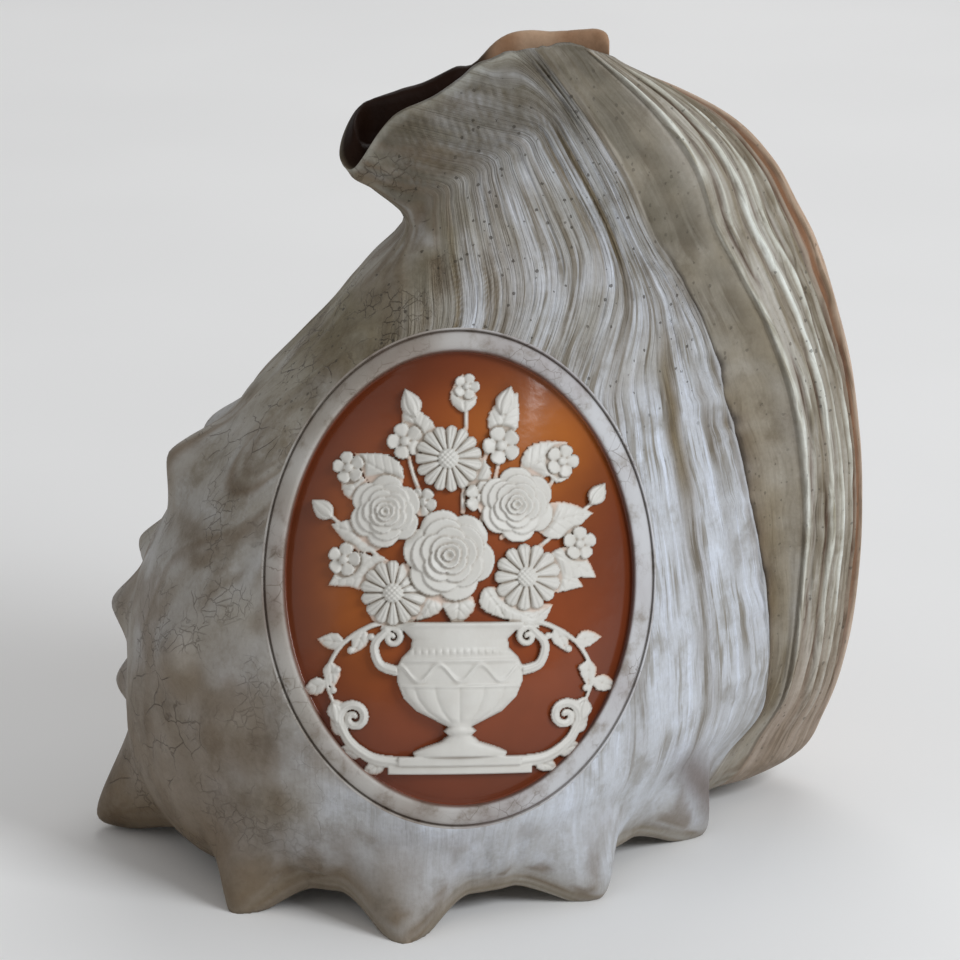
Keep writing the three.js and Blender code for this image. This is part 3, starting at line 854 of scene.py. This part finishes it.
def pits(n, place):
    """Round worm holes of several sizes, in loose groups."""
    ragged = n.times(n.noise(place, 2200.0, 3.0), 0.0008)
    nudged = n.moved(place, n.combine(ragged, n.times(ragged, -1.0), ragged))
    inputs = {"Vector": nudged, "Scale": 760.0, "Randomness": 1.0}
    dots = n.add("ShaderNodeTexVoronoi", inputs)
    chances = n.add("ShaderNodeSeparateColor", {0: dots.outputs["Color"]})
    group = n.range(n.noise(place, 30.0, 2.0), 0.35, 0.7, -0.12, 0.12)
    here = n.range(n.total(chances.outputs[0], group), 0.8, 0.84)
    size = n.range(chances.outputs[1], 0.0, 1.0, 0.08, 0.34)
    pit = n.math("LESS_THAN", dots.outputs["Distance"], size)
    return n.times(pit, here, n.attribute("pits"))


def cracks(n, place, scale, width, spread):
    """Thin broken lines between cells of a warped net."""
    warp = n.noise(place, scale * 0.5, 4.0)
    warped = n.moved(place, n.combine(*(n.times(warp, amount / scale) for amount in (2.2, -1.8, 1.4))))
    inputs = {"Vector": warped, "Scale": scale}
    cells = n.add("ShaderNodeTexVoronoi", inputs, feature="DISTANCE_TO_EDGE")
    line = n.range(cells.outputs["Distance"], 0.0, width, 1.0, 0.0)
    return n.times(line, n.range(n.noise(place, spread, 3.0), 0.5, 0.62))


def ground_material():
    n = Nodes("carved_ground")
    place = n.place()
    gloss = n.attribute("gloss")
    dull = n.range(gloss, 0.1, 0.5, 1.0, 0.0)
    cloud = n.noise(place, 42.0, 3.0)
    mottle = n.noise(place, 170.0, 7.0, 0.68)
    hairs = n.times(cracks(n, place, 300.0, 0.05, 60.0), dull, 0.55)
    tint = n.attribute("tint", True)
    coat = n.mix(n.range(cloud, 0.35, 0.75, 0.0, 0.45), tint, (0.11, 0.028, 0.009))
    darker = n.mix(1.0, coat, (0.52, 0.46, 0.38), "MULTIPLY")
    coat = n.layers(
        coat,
        (n.times(n.range(mottle, 0.47, 0.72), dull, 0.8), darker),
        (hairs, (0.1, 0.07, 0.045)),
    )
    rough = n.total(n.times(n.noise(place, 260.0, 2.0), 0.3), n.times(mottle, dull))
    return n.surface(
        Base_Color=coat,
        Roughness=n.range(gloss, 0.0, 1.0, 0.6, 0.17),
        Specular_IOR_Level=0.34,
        Normal=n.bump(rough, 0.4, 0.0005),
    )


def relief_material():
    n = Nodes("carved_relief")
    place = n.place()
    tint = n.attribute("tint", True)
    darker = n.mix(1.0, tint, (0.82, 0.79, 0.76), "MULTIPLY")
    return n.surface(
        Base_Color=n.mix(n.range(n.noise(place, 160.0, 4.0), 0.4, 0.75, 0.0, 0.3), tint, darker),
        Roughness=0.46,
        Normal=n.bump(n.noise(place, 700.0, 3.0), 0.15, 0.0003),
    )


# Shell piece, with an oval hole for the carved panel

FIELD_STEP = 1.5


def height_field():
    """Outward height of the plain surface over a grid of places of the oval's frame."""
    columns = grid_lines([0, 0, 0, 0, 0, 12, 12, 12, 12, 12, 12])
    rows = grid_lines([0] * R_SHOULDER + [12] * (R_NECK - R_SHOULDER))
    patch = weave(columns, rows)
    verts = np.stack(oval_place(patch), axis=-1).reshape(-1, 3).tolist()
    faces = grid_faces(len(rows), len(columns)).tolist()
    tree = BVHTree.FromPolygons(verts, faces)
    across = np.arange(-54, 54.01, FIELD_STEP)
    up = np.arange(-66, 66.01, FIELD_STEP)
    heights = np.full((len(up), len(across)), np.nan)
    for j, v in enumerate(up):
        for i, u in enumerate(across):
            hit = tree.ray_cast(Vector((u, v, 200)), Vector((0, 0, -1)))[0]
            if hit is not None:
                heights[j, i] = hit.z
    return across, up, heights


FIELD_A, FIELD_B, FIELD = height_field()
FIELD = np.where(np.isnan(FIELD), np.nanmin(FIELD), FIELD)


def surface_out(a, b):
    """Outward height of the plain surface at places of the oval's frame, read smoothly."""
    x = np.clip((a - FIELD_A[0]) / FIELD_STEP, 1, len(FIELD_A) - 2.001)
    y = np.clip((b - FIELD_B[0]) / FIELD_STEP, 1, len(FIELD_B) - 2.001)
    xi, yi = x.astype(int), y.astype(int)
    tx, ty = x - xi, y - yi

    def weights(t):
        return (
            -0.5 * t + t**2 - 0.5 * t**3,
            1 - 2.5 * t**2 + 1.5 * t**3,
            0.5 * t + 2 * t**2 - 1.5 * t**3,
            -0.5 * t**2 + 0.5 * t**3,
        )

    total = 0
    for j, wy in enumerate(weights(ty)):
        row = np.clip(yi - 1 + j, 0, len(FIELD_B) - 1)
        for i, wx in enumerate(weights(tx)):
            total = total + wy * wx * FIELD[row, np.clip(xi - 1 + i, 0, len(FIELD_A) - 1)]
    return total


def from_oval_place(a, b, out):
    """The point at a place of the oval's frame."""
    point = np.zeros(np.shape(a) + (3,))
    point[..., 0] = a + OVAL_X
    return point + (b + OVAL_UP)[..., None] * UPWARD + np.asarray(out)[..., None] * OUTWARD


def shell_piece():
    rows, columns = A.shape
    a, b, _ = oval_place(points)
    ratio = np.hypot(a / (OVAL_A + BAND), b / (OVAL_B + BAND))
    inside = (facing_oval & (ratio < 1)).ravel()
    quads = grid_faces(rows, columns, closed=True)
    quads = quads[~inside[quads].all(axis=1)]

    # Points that stay although they lie inside the oval move out to its edge.
    moved = points.copy().reshape(-1, 3)
    rim = np.zeros(rows * columns, dtype=bool)
    rim[quads.ravel()] = True
    rim &= inside
    a, b, ratio = a.ravel(), b.ravel(), ratio.ravel()
    edge_a, edge_b = a[rim] / ratio[rim], b[rim] / ratio[rim]
    moved[rim] = from_oval_place(edge_a, edge_b, surface_out(edge_a, edge_b))

    # A face in the middle of the wall shows which way round the corners have to go.
    corner, next_corner, _, above_corner = quads[len(quads) // 2]
    facing = np.cross(moved[next_corner] - moved[corner], moved[above_corner] - moved[corner])
    flip = 1 if facing @ normals.reshape(-1, 3)[corner] > 0 else -1

    # The first and last rows are drawn together to a point.
    last = (rows - 1) * columns
    quads = quads[(quads >= columns).all(axis=1) & (quads < last).all(axis=1)]
    last_ring = last - columns
    caps = [(0, columns + (c + 1) % columns, columns + c) for c in range(columns)]
    caps += [(last, last_ring + c, last_ring + (c + 1) % columns) for c in range(columns)]
    faces = [tuple(q[::flip]) for q in quads.tolist()] + [f[::-flip] for f in caps]
    used = np.zeros(rows * columns, dtype=bool)
    for f in faces:
        used[list(f)] = True
    number = (np.cumsum(used) - 1).tolist()
    faces = [tuple(number[i] for i in f) for f in faces]
    values = {key: share.ravel()[used] for key, share in SHARES.items()}
    values["tint"] = tint.reshape(-1, 3)[used]
    piece = make_piece("shell_body", moved[used], faces, shell_material(), values)
    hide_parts("shell")
    return piece


# Oval panel: the groove, the rim band, the wall and the polished ground

def panel_piece():
    around = 320
    turn = np.linspace(0, 2 * np.pi, around, endpoint=False)
    # Distance out from the ground's edge, and the depth there.
    profile = [
        (BAND, 0.0), (5.4, 0.0), (5.22, -0.08), (5.1, -0.45), (4.98, -0.9), (4.8, -1.0), (4.64, -0.75),
        (4.5, -0.2), (4.3, 0.06), (3.9, 0.22), (3.2, 0.34), (2.4, 0.34), (1.6, 0.24), (1.1, 0.06),
        (0.75, -0.3), (0.55, -0.75), (0.35, -1.5), (0.2, -2.4), (0.05, -2.85), (-0.3, -GROUND_DEPTH),
    ]
    rings = [(OVAL_A + distance, OVAL_B + distance, depth, distance) for distance, depth in profile]
    # Then the ground, in shares of its half sizes.
    for share in np.linspace(0.975, 0.02, 44):
        rings.append((OVAL_A * share, OVAL_B * share, -GROUND_DEPTH, 0))
    verts, tints, gloss_values = [], [], []
    for half_a, half_b, depth, distance in rings:
        a, b = half_a * np.cos(turn), half_b * np.sin(turn)
        verts.append(from_oval_place(a, b, surface_out(a, b) + depth))
        on_ground = distance < 0.1
        tints.append(ground_tone(a, b) if on_ground else band_tone(a, b, distance))
        gloss_values.append(np.full(around, 1.0 if on_ground else 0.1))
    middle = np.zeros(1)
    verts.append(from_oval_place(middle, middle, surface_out(middle, middle) - GROUND_DEPTH))
    tints.append(ground_tone(middle, middle))
    gloss_values.append(np.ones(1))

    faces = grid_faces(len(rings), around, closed=True).tolist()
    last, centre = (len(rings) - 1) * around, len(rings) * around
    faces += [(last + c, last + (c + 1) % around, centre) for c in range(around)]
    values = {"tint": np.concatenate(tints), "gloss": np.concatenate(gloss_values)}
    return make_piece("carved_panel", np.concatenate(verts), faces, ground_material(), values)


def band_tone(a, b, distance):
    """The grey rim band's colour, lighter and bluer towards the right as painted light, with painted shade
    in its groove and rust down its inner wall.
    """
    distance = np.full(len(a), distance)
    return coats(
        np.broadcast_to(colour(188, 185, 180), (len(a), 3)),
        (colour(156, 148, 138), 0.35 + 0.6 * noise2(a / 9, b / 9, 30)),
        # Painted light: lighter and bluer towards the right side.
        (colour(200, 202, 207), 0.75 * smooth(-16, 26, a)),
        # Painted shade: a dark line in the groove.
        (colour(84, 73, 60), 0.8 * bump_at(distance, 4.86, 0.24)),
        (colour(120, 78, 58), 0.8 * smooth(0.75, 0.3, distance)),
    )


def ground_tone(a, b):
    """The polished orange layer's colour, amber in two places and darker towards its edge and its bottom,
    partly its own colour and partly a painted glow and painted shade.
    """
    # The amber places are partly the layer's colour and partly a painted glow of light through it.
    amber = glow(a, b, 19, 33, 20, 16) + 0.5 * glow(a, b, -25, -2, 12, 25)
    edge = smooth(0.62, 1.0, np.hypot(a / OVAL_A, b / OVAL_B))
    return coats(
        np.broadcast_to(colour(136, 66, 32), (len(a), 3)),
        (colour(190, 110, 40), 0.95 * amber),
        # Partly painted shade: darker towards the edge and towards the bottom.
        (colour(98, 44, 24), 0.8 * edge * (1 - 0.6 * np.clip(amber, 0, 1))),
        (colour(120, 58, 34), 0.5 * smooth(-10, -45, b)),
    )


# Carving: a bouquet in a footed urn, as heights above the ground of the oval

# GA and GB are the places of the grid that the carving is worked out on, across and up the oval's
# frame. The margin keeps the grid inside the ground.
CELL = 0.2
MARGIN = 2
grid_a = np.arange(-OVAL_A + MARGIN, OVAL_A - MARGIN, CELL)
grid_b = np.arange(-OVAL_B + MARGIN, OVAL_B - MARGIN, CELL)
GA, GB = np.meshgrid(grid_a, grid_b)


def polar(x, y):
    return np.hypot(GA - x, GB - y), np.arctan2(GB - y, GA - x)


def dome(share):
    return np.sqrt(np.clip(1 - share**2, 0, 1))


def petal_place(angle, petals, turn):
    """How far each place lies from its petal's middle line, from 0 to 1 at the next petal."""
    return np.abs(2 * np.mod((angle - turn) * petals / (2 * np.pi), 1) - 1)


def rose(x, y, radius, top, turn):
    away, angle = polar(x, y)
    height = np.zeros_like(away)
    whorls = ((1.0, 6), (0.8, 5), (0.61, 5), (0.43, 4), (0.27, 3), (0.13, 1))
    for k, (share, petals) in enumerate(whorls):
        lobe = 1 - petal_place(angle, petals, turn + 0.9 * k) ** 2.5
        outer = radius * share * (0.85 + 0.15 * lobe)
        t = np.clip(away / outer, 0, 1)
        level = top * (0.34 + 0.66 * (k + 1) / len(whorls))
        cup = level * (0.66 + 0.34 * t**2.4) - 0.5 * top * share * 0.3 * (1 - lobe) * t
        height = np.where(away < outer, cup, height)
    return height


def daisy(x, y, radius, top, petals, turn=0.0):
    away, angle = polar(x, y)
    off = petal_place(angle, petals, turn)
    outer = radius * (0.8 + 0.2 * dome(off))
    t = np.clip(away / outer, 0, 1)
    petal = top * (0.5 + 0.28 * np.sin(np.pi * t)) * (1 - 0.6 * off**4) - 0.12 * top * bump_at(off, 0, 0.12)
    height = np.where(away < outer, petal, 0)
    heart = 0.3 * radius
    beads = 0.1 * top * np.cos(GA * 5.2) * np.cos(GB * 5.2)
    return np.where(away < heart, top * (0.7 + 0.3 * dome(away / heart)) + beads, height)


def small_flower(x, y, radius, top, turn=0.0):
    away, angle = polar(x, y)
    off = petal_place(angle, 5, turn)
    outer = radius * (0.55 + 0.45 * np.sqrt(np.clip(1 - off**2.5, 0, 1)))
    t = np.clip(away / outer, 0, 1)
    petal = top * (0.45 + 0.4 * t) * (1 - 0.45 * off**3)
    height = np.where(away < outer, petal, 0)
    return np.where(away < 0.26 * radius, top * (0.72 + 0.28 * dome(away / (0.26 * radius))), height)


def along_and_across(x, y, turn):
    """How far each place lies along a line from x, y at the turn, in degrees, and across it."""
    c, s = math.cos(math.radians(turn)), math.sin(math.radians(turn))
    return (GA - x) * c + (GB - y) * s, -(GA - x) * s + (GB - y) * c


def leaf(x, y, length, width, turn, top=1.7):
    """A veined leaf from its foot at x, y, pointing along the turn."""
    along, across = along_and_across(x, y, turn)
    across = across - 0.05 * along * np.sin(along / length * 3)
    share = np.clip(along / length, 0, 1)
    teeth = 1 - 0.09 * np.mod(along / 1.5, 1)
    half = width * np.sin(np.pi * share**0.72) * teeth + 1e-6
    side = across / half
    blade = top * (0.42 + 0.58 * dome(side * 0.96)) * (1 - 0.3 * share) - 0.16 * top * side
    side_veins = np.clip(np.cos(2 * np.pi * (along - 0.9 * np.abs(across)) / 2.3), 0, 1) ** 5
    blade = blade - 0.3 * bump_at(across, 0, 0.28) - 0.2 * side_veins * (np.abs(side) < 0.85)
    inside = (np.abs(side) < 1) & (along > 0) & (along < length)
    return np.where(inside, np.maximum(blade, 0.35), 0)


def curve_through(places, steps=9):
    """Points along a smooth curve through the places."""
    places = np.array(places, dtype=float)
    line = [places[0]]
    for i in range(len(places) - 1):
        before, after = places[max(i - 1, 0)], places[min(i + 2, len(places) - 1)]
        for k in range(1, steps + 1):
            t = k / steps
            bend = (places[i + 1] - before, after - places[i])
            value = (2 * t**3 - 3 * t**2 + 1) * places[i] + (3 * t**2 - 2 * t**3) * places[i + 1]
            value = value + 0.5 * (t**3 - 2 * t**2 + t) * bend[0] + 0.5 * (t**3 - t**2) * bend[1]
            line.append(value)
    return np.array(line)


def stem(line, thick, thin, lift=0.5, ribbed=False):
    """A round stem along a line, thinner towards its end."""
    height = np.zeros_like(GA)
    reach = thick + 0.6
    for i in range(len(line) - 1):
        p, q = line[i], line[i + 1]
        low, high = np.minimum(p, q) - reach, np.maximum(p, q) + reach
        rows = slice(*np.searchsorted(grid_b, (low[1], high[1])))
        columns = slice(*np.searchsorted(grid_a, (low[0], high[0])))
        a, b = GA[rows, columns], GB[rows, columns]
        step = q - p
        t = np.clip(((a - p[0]) * step[0] + (b - p[1]) * step[1]) / (step @ step + 1e-9), 0, 1)
        away = np.hypot(a - p[0] - t * step[0], b - p[1] - t * step[1])
        radius = lerp(thick, thin, (i + t) / (len(line) - 1))
        bar = np.where(away < radius, lift + radius * dome(away / radius), 0)
        if ribbed:
            bar = bar - np.where(away < radius, 0.35 * bump_at(away, 0.45 * radius, 0.22), 0)
        height[rows, columns] = np.maximum(height[rows, columns], bar)
    return height


def volute(x, y, size, start, turns, hand):
    """A spiral line that winds in to its eye at x, y."""
    share = np.linspace(0, 1, 40)
    angle = np.radians(start) + hand * 2 * np.pi * turns * share
    radius = size * (1 - 0.85 * share)
    return np.column_stack([x + radius * np.cos(angle), y + radius * np.sin(angle)])


def ball(x, y, radius, lift=0.5):
    away, _ = polar(x, y)
    return np.where(away < radius, lift + radius * dome(away / radius), 0)


def bud(x, y, length, width, turn):
    along, across = along_and_across(x, y, turn)
    along, across = along / length, across / width
    half = np.sin(np.pi * np.clip(along, 0, 1) ** 0.8) + 1e-6
    side = np.abs(across) / half
    body = 0.7 + 1.7 * dome(side) - 0.4 * bump_at(np.abs(across), 0.42 * half, 0.1)
    return np.where((side < 1) & (along > 0) & (along < 1), body, 0)


# The urn: heights up its middle with its half width there.
URN = [
    (-40.5, 10.5), (-39.5, 10.8), (-38.4, 8.4), (-37, 4.4), (-35.6, 2.7), (-34.6, 3.7), (-33.6, 2.8),
    (-32.4, 5.2), (-30, 9.8), (-27, 12.8), (-23.5, 14.2), (-20, 14.3), (-17.6, 13.2), (-15.6, 11.2),
    (-13.6, 10.9), (-12, 12.4), (-10.8, 14.4), (-9.6, 14.6),
]
PLINTH = [(-44.6, -42.6, 16.5, 1.9), (-42.6, -40.5, 14, 2.6)]
BANDS = [(-34.6, 0.9, 0.5), (-18.4, 0.5, 0.55), (-10.2, 0.7, 0.5)]


def urn():
    up = np.array([b for b, _ in URN])
    half = np.interp(GB, up, np.array([w for _, w in URN]))
    side = GA / half
    height = 1.0 + 2.8 * dome(side * 0.985)
    flutes = 0.42 * np.abs(np.sin(7.5 * np.arcsin(np.clip(side, -1, 1)))) ** 0.6
    height = height + flutes * smooth(-33, -31.5, GB) * (1 - smooth(-25.5, -23.5, GB))
    festoon = -21.2 - 1.9 * np.cos(2 * np.pi * GA / 9.4)
    height = height + 0.55 * bump_at(GB, festoon, 0.55) + 0.5 * bump_at(GB, -24.3, 0.35)
    for b, width, lift in BANDS:
        height = height + lift * bump_at(GB, b, width)
    beads = 0.4 * np.abs(np.cos(np.pi * GA / 1.6)) ** 0.5
    height = height + beads * bump_at(GB, -16.4, 0.6)
    height = np.where((np.abs(side) < 1) & (GB > up[0]) & (GB < up[-1]), height, 0)
    for low, high, half_width, lift in PLINTH:
        height = np.where((GB >= low) & (GB <= high) & (np.abs(GA) < half_width), lift, height)
    return height


# Leaves: foot, length, width and turn. Flowers: place, size, height and petals or turn.
LEAVES = [
    (-15, 3, 13, 4.2, 196), (-16, 9, 14, 4.4, 165), (-13, 22, 13, 4.2, 148), (-7, 30, 12, 3.8, 118),
    (1, 38, 9, 3.2, 92), (8, 32, 12, 3.8, 64), (14, 24, 13, 4.2, 34), (17, 12, 14, 4.4, 12),
    (16, 2, 13, 4.2, -18), (-10, -4, 11, 3.8, 222), (10, -4, 11, 3.8, -42), (-22, 18, 9, 3.2, 120),
    (22, 22, 9, 3.2, 76), (0, -2, 9, 4, 262), (-4, 22, 12, 3.8, 80), (5, 20, 12, 3.8, 108),
    (-5, -2, 9, 3.4, 236), (5.5, -2, 9, 3.4, 304), (-20, 5, 12, 3.6, 212), (21, 6, 12, 3.6, -30),
]
ROSES = [(-2.5, 5.5, 10.5, 4.4, 0.3), (13, 17, 8.6, 4.0, 1.1), (-17, 15.5, 8.2, 3.8, 2.0)]
DAISIES = [(-15.2, -3, 7.4, 3.2, 14), (15.4, 0.5, 7.6, 3.2, 13), (-2.6, 27.5, 7.6, 3.4, 15)]
SMALL_FLOWERS = [
    (-26.5, 4.5, 3.8, 2.4), (27.5, 8, 3.9, 2.4), (-12.5, 31.5, 4.2, 2.6), (9.5, 30.5, 4.4, 2.6),
    (23.5, 27, 3.8, 2.3), (-25.5, 25.5, 3.7, 2.3), (4.8, 18.6, 3.8, 3.1), (-8.6, 17.6, 3.4, 3.0),
    (1.5, 44.0, 3.0, 2.0),
]
BUDS = [(-10, 37, 7, 2.4, 112), (9.5, 37.5, 7, 2.4, 72), (-29, 14, 6.5, 2.2, 140), (30, 17, 6, 2.1, 55)]
SPRIG = [(12, -9), (20, -10.5), (27, -15), (30.5, -22), (29, -28)]
SCROLL = [(14, -42), (20, -41), (25, -37.5), (27.5, -33)]
SCROLL_LEAVES = [(17, -41.5, 6.5), (22, -39.8, 6.5), (26, -35.5, 5.5)]
HANDLE = [(13.2, -21), (18, -19.5), (19.4, -15), (16.6, -11.6)]


def mirrored(line, side):
    return np.array([(side * x, y) for x, y in line])


def turned_to(side, degrees):
    """An angle of the right side, or its mirror image for the left side."""
    return degrees if side > 0 else 180 - degrees


def highest(height, *forms):
    for form in forms:
        height = np.maximum(height, form)
    return height


def spray(side):
    """A leafy spray with berries, trailing from the urn's lip to a bud."""
    line = curve_through(mirrored(SPRIG, side))
    height = stem(line, 0.7, 0.4, 0.7)
    for k, (x, y) in enumerate(line[5::6]):
        turn = turned_to(side, (-50 if k % 2 else 35) - 14 * k)
        berry = ball(x - 1.5 * side, y - 1.8, 0.85, 0.6)
        height = highest(height, leaf(x, y, 6.4, 2.1, turn, 1.4), berry)
    x, y = line[-1]
    return highest(height, bud(x, y, 5.2, 1.8, turned_to(side, -100)))


def scroll(side):
    """A leafy scroll that rises from the plinth and curls in."""
    curl = volute(side * 24.2, -31.6, 3.6, turned_to(side, -20), 1.4, side)
    line = curve_through(mirrored(SCROLL, side))
    height = highest(stem(line, 1.5, 1.1, 0.7, True), stem(curl, 1.2, 0.7, 0.8, True))
    for k, (x, y, length) in enumerate(SCROLL_LEAVES):
        turn = turned_to(side, -28 + 38 * k)
        height = highest(height, leaf(side * x, y, length, 2.0, turn, 1.5))
    return height


def handle(side):
    line = curve_through(mirrored(HANDLE, side))
    curl = volute(side * 15.4, -13.2, 2.4, turned_to(side, 60), 1.2, side)
    return highest(stem(line, 1.25, 0.9, 1.0, True), stem(curl, 0.85, 0.6, 1.1))


def bouquet():
    height = np.zeros_like(GA)
    for side in (-1, 1):
        height = highest(height, spray(side), scroll(side), handle(side))
    for place in LEAVES:
        height = highest(height, leaf(*place))
    for x, y, length, width, turn in BUDS:
        line = curve_through([(x * 0.55, y - 11), (x, y)])
        height = highest(height, stem(line, 0.55, 0.45, 0.5), bud(x, y, length, width, turn))
    # The two small flowers beside the middle rose have no stem of their own.
    for x, y, _, _ in SMALL_FLOWERS[:6] + SMALL_FLOWERS[8:]:
        line = curve_through([(0.4 * x, 0.35 * y), (0.8 * x, 0.7 * y), (x, y)])
        height = highest(height, stem(line, 0.6, 0.45))
    vase = urn()
    height = np.where(vase > 0, vase, height)
    for x, y, radius, top in SMALL_FLOWERS:
        height = set_on(height, small_flower(x, y, radius, top, 0.4 * x), x, y, radius)
    for x, y, radius, top, petals in DAISIES:
        height = set_on(height, daisy(x, y, radius, top, petals), x, y, radius)
    for x, y, radius, top, turn in ROSES:
        height = set_on(height, rose(x, y, radius, top, turn), x, y, radius)
    return height


def set_on(height, flower, x, y, radius):
    """A flower in front of what is there, with a shallow shadow line cut round it."""
    away, _ = polar(x, y)
    halo = np.where(height > 0, np.maximum(height * smooth(0.85, 1.2, away / radius), 0.6), 0)
    return np.where(flower > 0, flower, np.where(away < 1.2 * radius, np.minimum(height, halo), height))


def blurred(values, cells):
    """The mean over a square of cells, by running sums."""
    size = 2 * cells + 1
    for axis in (0, 1):
        pad = [(0, 0), (0, 0)]
        pad[axis] = (cells + 1, cells)
        total = np.cumsum(np.pad(values, pad, mode="edge"), axis=axis)
        high = np.take(total, np.arange(size, total.shape[axis]), axis=axis)
        low = np.take(total, np.arange(0, total.shape[axis] - size), axis=axis)
        values = (high - low) / size
    return values


def relief_piece():
    height = bouquet()
    solid = height > 0
    height = np.where(solid, 0.45 * height + 0.55 * blurred(height, 1), 0)
    corners = grid_faces(*height.shape)
    corners = corners[solid.ravel()[corners].any(axis=1)]
    used, faces = np.unique(corners, return_inverse=True)
    a, b, h = GA.ravel()[used], GB.ravel()[used], height.ravel()[used]
    # Painted shade: hollows and crevices of the carving are darkened in its colour.
    hollow = np.clip((blurred(height, 4) - height).ravel()[used], -1, 1)
    deep = np.clip((blurred(height, 1) - height).ravel()[used], -1, 1)
    # The carving's edges go down a little way into the ground.
    out = surface_out(a, b) - GROUND_DEPTH + np.where(h > 0, h, -0.25)
    tone = coats(
        np.broadcast_to(colour(206, 150, 112), (len(a), 3)),
        (colour(212, 210, 204), smooth(0.15, 0.95, h)),
        (colour(166, 155, 142), smooth(0.05, 0.6, hollow)),
        (colour(146, 128, 110), 0.9 * smooth(0.06, 0.4, deep)),
    )
    verts, faces = from_oval_place(a, b, out), faces.reshape(-1, 4).tolist()
    return make_piece("carved_bouquet", verts, faces, relief_material(), {"tint": tone})


shell_piece()
panel_piece()
relief_piece()


# Floor, light and camera

def floor_piece():
    mesh = bpy.data.meshes.new("floor")
    half = 6.0
    corners = [(-half, -half, 0), (half, -half, 0), (half, half, 0), (-half, half, 0)]
    mesh.from_pydata(corners, [], [(0, 1, 2, 3)])
    floor = bpy.data.objects.new("floor", mesh)
    bpy.context.scene.collection.objects.link(floor)
    n = Nodes("floor_paper")
    tone = n.mix(n.range(n.noise(n.place(), 3.0), 0.3, 0.7), (0.86, 0.86, 0.86), (0.9, 0.9, 0.9))
    mesh.materials.append(n.surface(Base_Color=tone, Roughness=0.9))


LIT_PLACE = (0.0, 0.0, 0.1)


def area_light(name, place, size, power, tone=(1, 1, 1)):
    data = bpy.data.lights.new(name, "AREA")
    data.shape = "RECTANGLE"
    data.size, data.size_y = size
    data.energy = power
    data.color = tone
    light = bpy.data.objects.new(name, data)
    light.location = place
    light.rotation_euler = (Vector(LIT_PLACE) - Vector(place)).to_track_quat("-Z", "Y").to_euler()
    bpy.context.scene.collection.objects.link(light)


floor_piece()
area_light("key", (1.0, -0.75, 0.95), (0.6, 0.6), 13, (0.94, 0.97, 1.0))
area_light("fill", (-1.1, -0.8, 0.7), (1.0, 1.0), 1.3, (1.0, 0.95, 0.89))
area_light("back", (0.2, 1.1, 1.1), (1.0, 0.8), 6)

world = bpy.data.worlds.new("studio")
world.use_nodes = True
sky = world.node_tree.nodes["Background"]
sky.inputs["Color"].default_value = (1, 1, 1, 1)
sky.inputs["Strength"].default_value = 0.36
bpy.context.scene.world = world
bpy.context.scene.view_settings.view_transform = "Standard"

# The camera looks at the carved face from a little above. The place it looks at is given across
# and up the oval's frame. A photo pixel covers PIXEL millimetres at the distance of the face.
VIEW_X, VIEW_UP, VIEW_REACH, FACE_OUT = 15.556, 84.92, 1135.0, 35.0
PHOTO_PIXELS, PIXEL = 960, 0.23653
SENSOR = 36
camera_data = bpy.data.cameras.new("camera")
camera_data.sensor_width = SENSOR
camera_data.lens = SENSOR * (VIEW_REACH - FACE_OUT) / (PHOTO_PIXELS * PIXEL)
camera_data.clip_end = 20
camera = bpy.data.objects.new("camera", camera_data)
eye = np.array([VIEW_X, 0, 0]) + VIEW_UP * UPWARD + VIEW_REACH * OUTWARD
camera.location = (eye - MIDDLE) * MM
camera.rotation_euler = Vector(-OUTWARD).to_track_quat("-Z", "Y").to_euler()
bpy.context.scene.collection.objects.link(camera)
bpy.context.scene.camera = camera
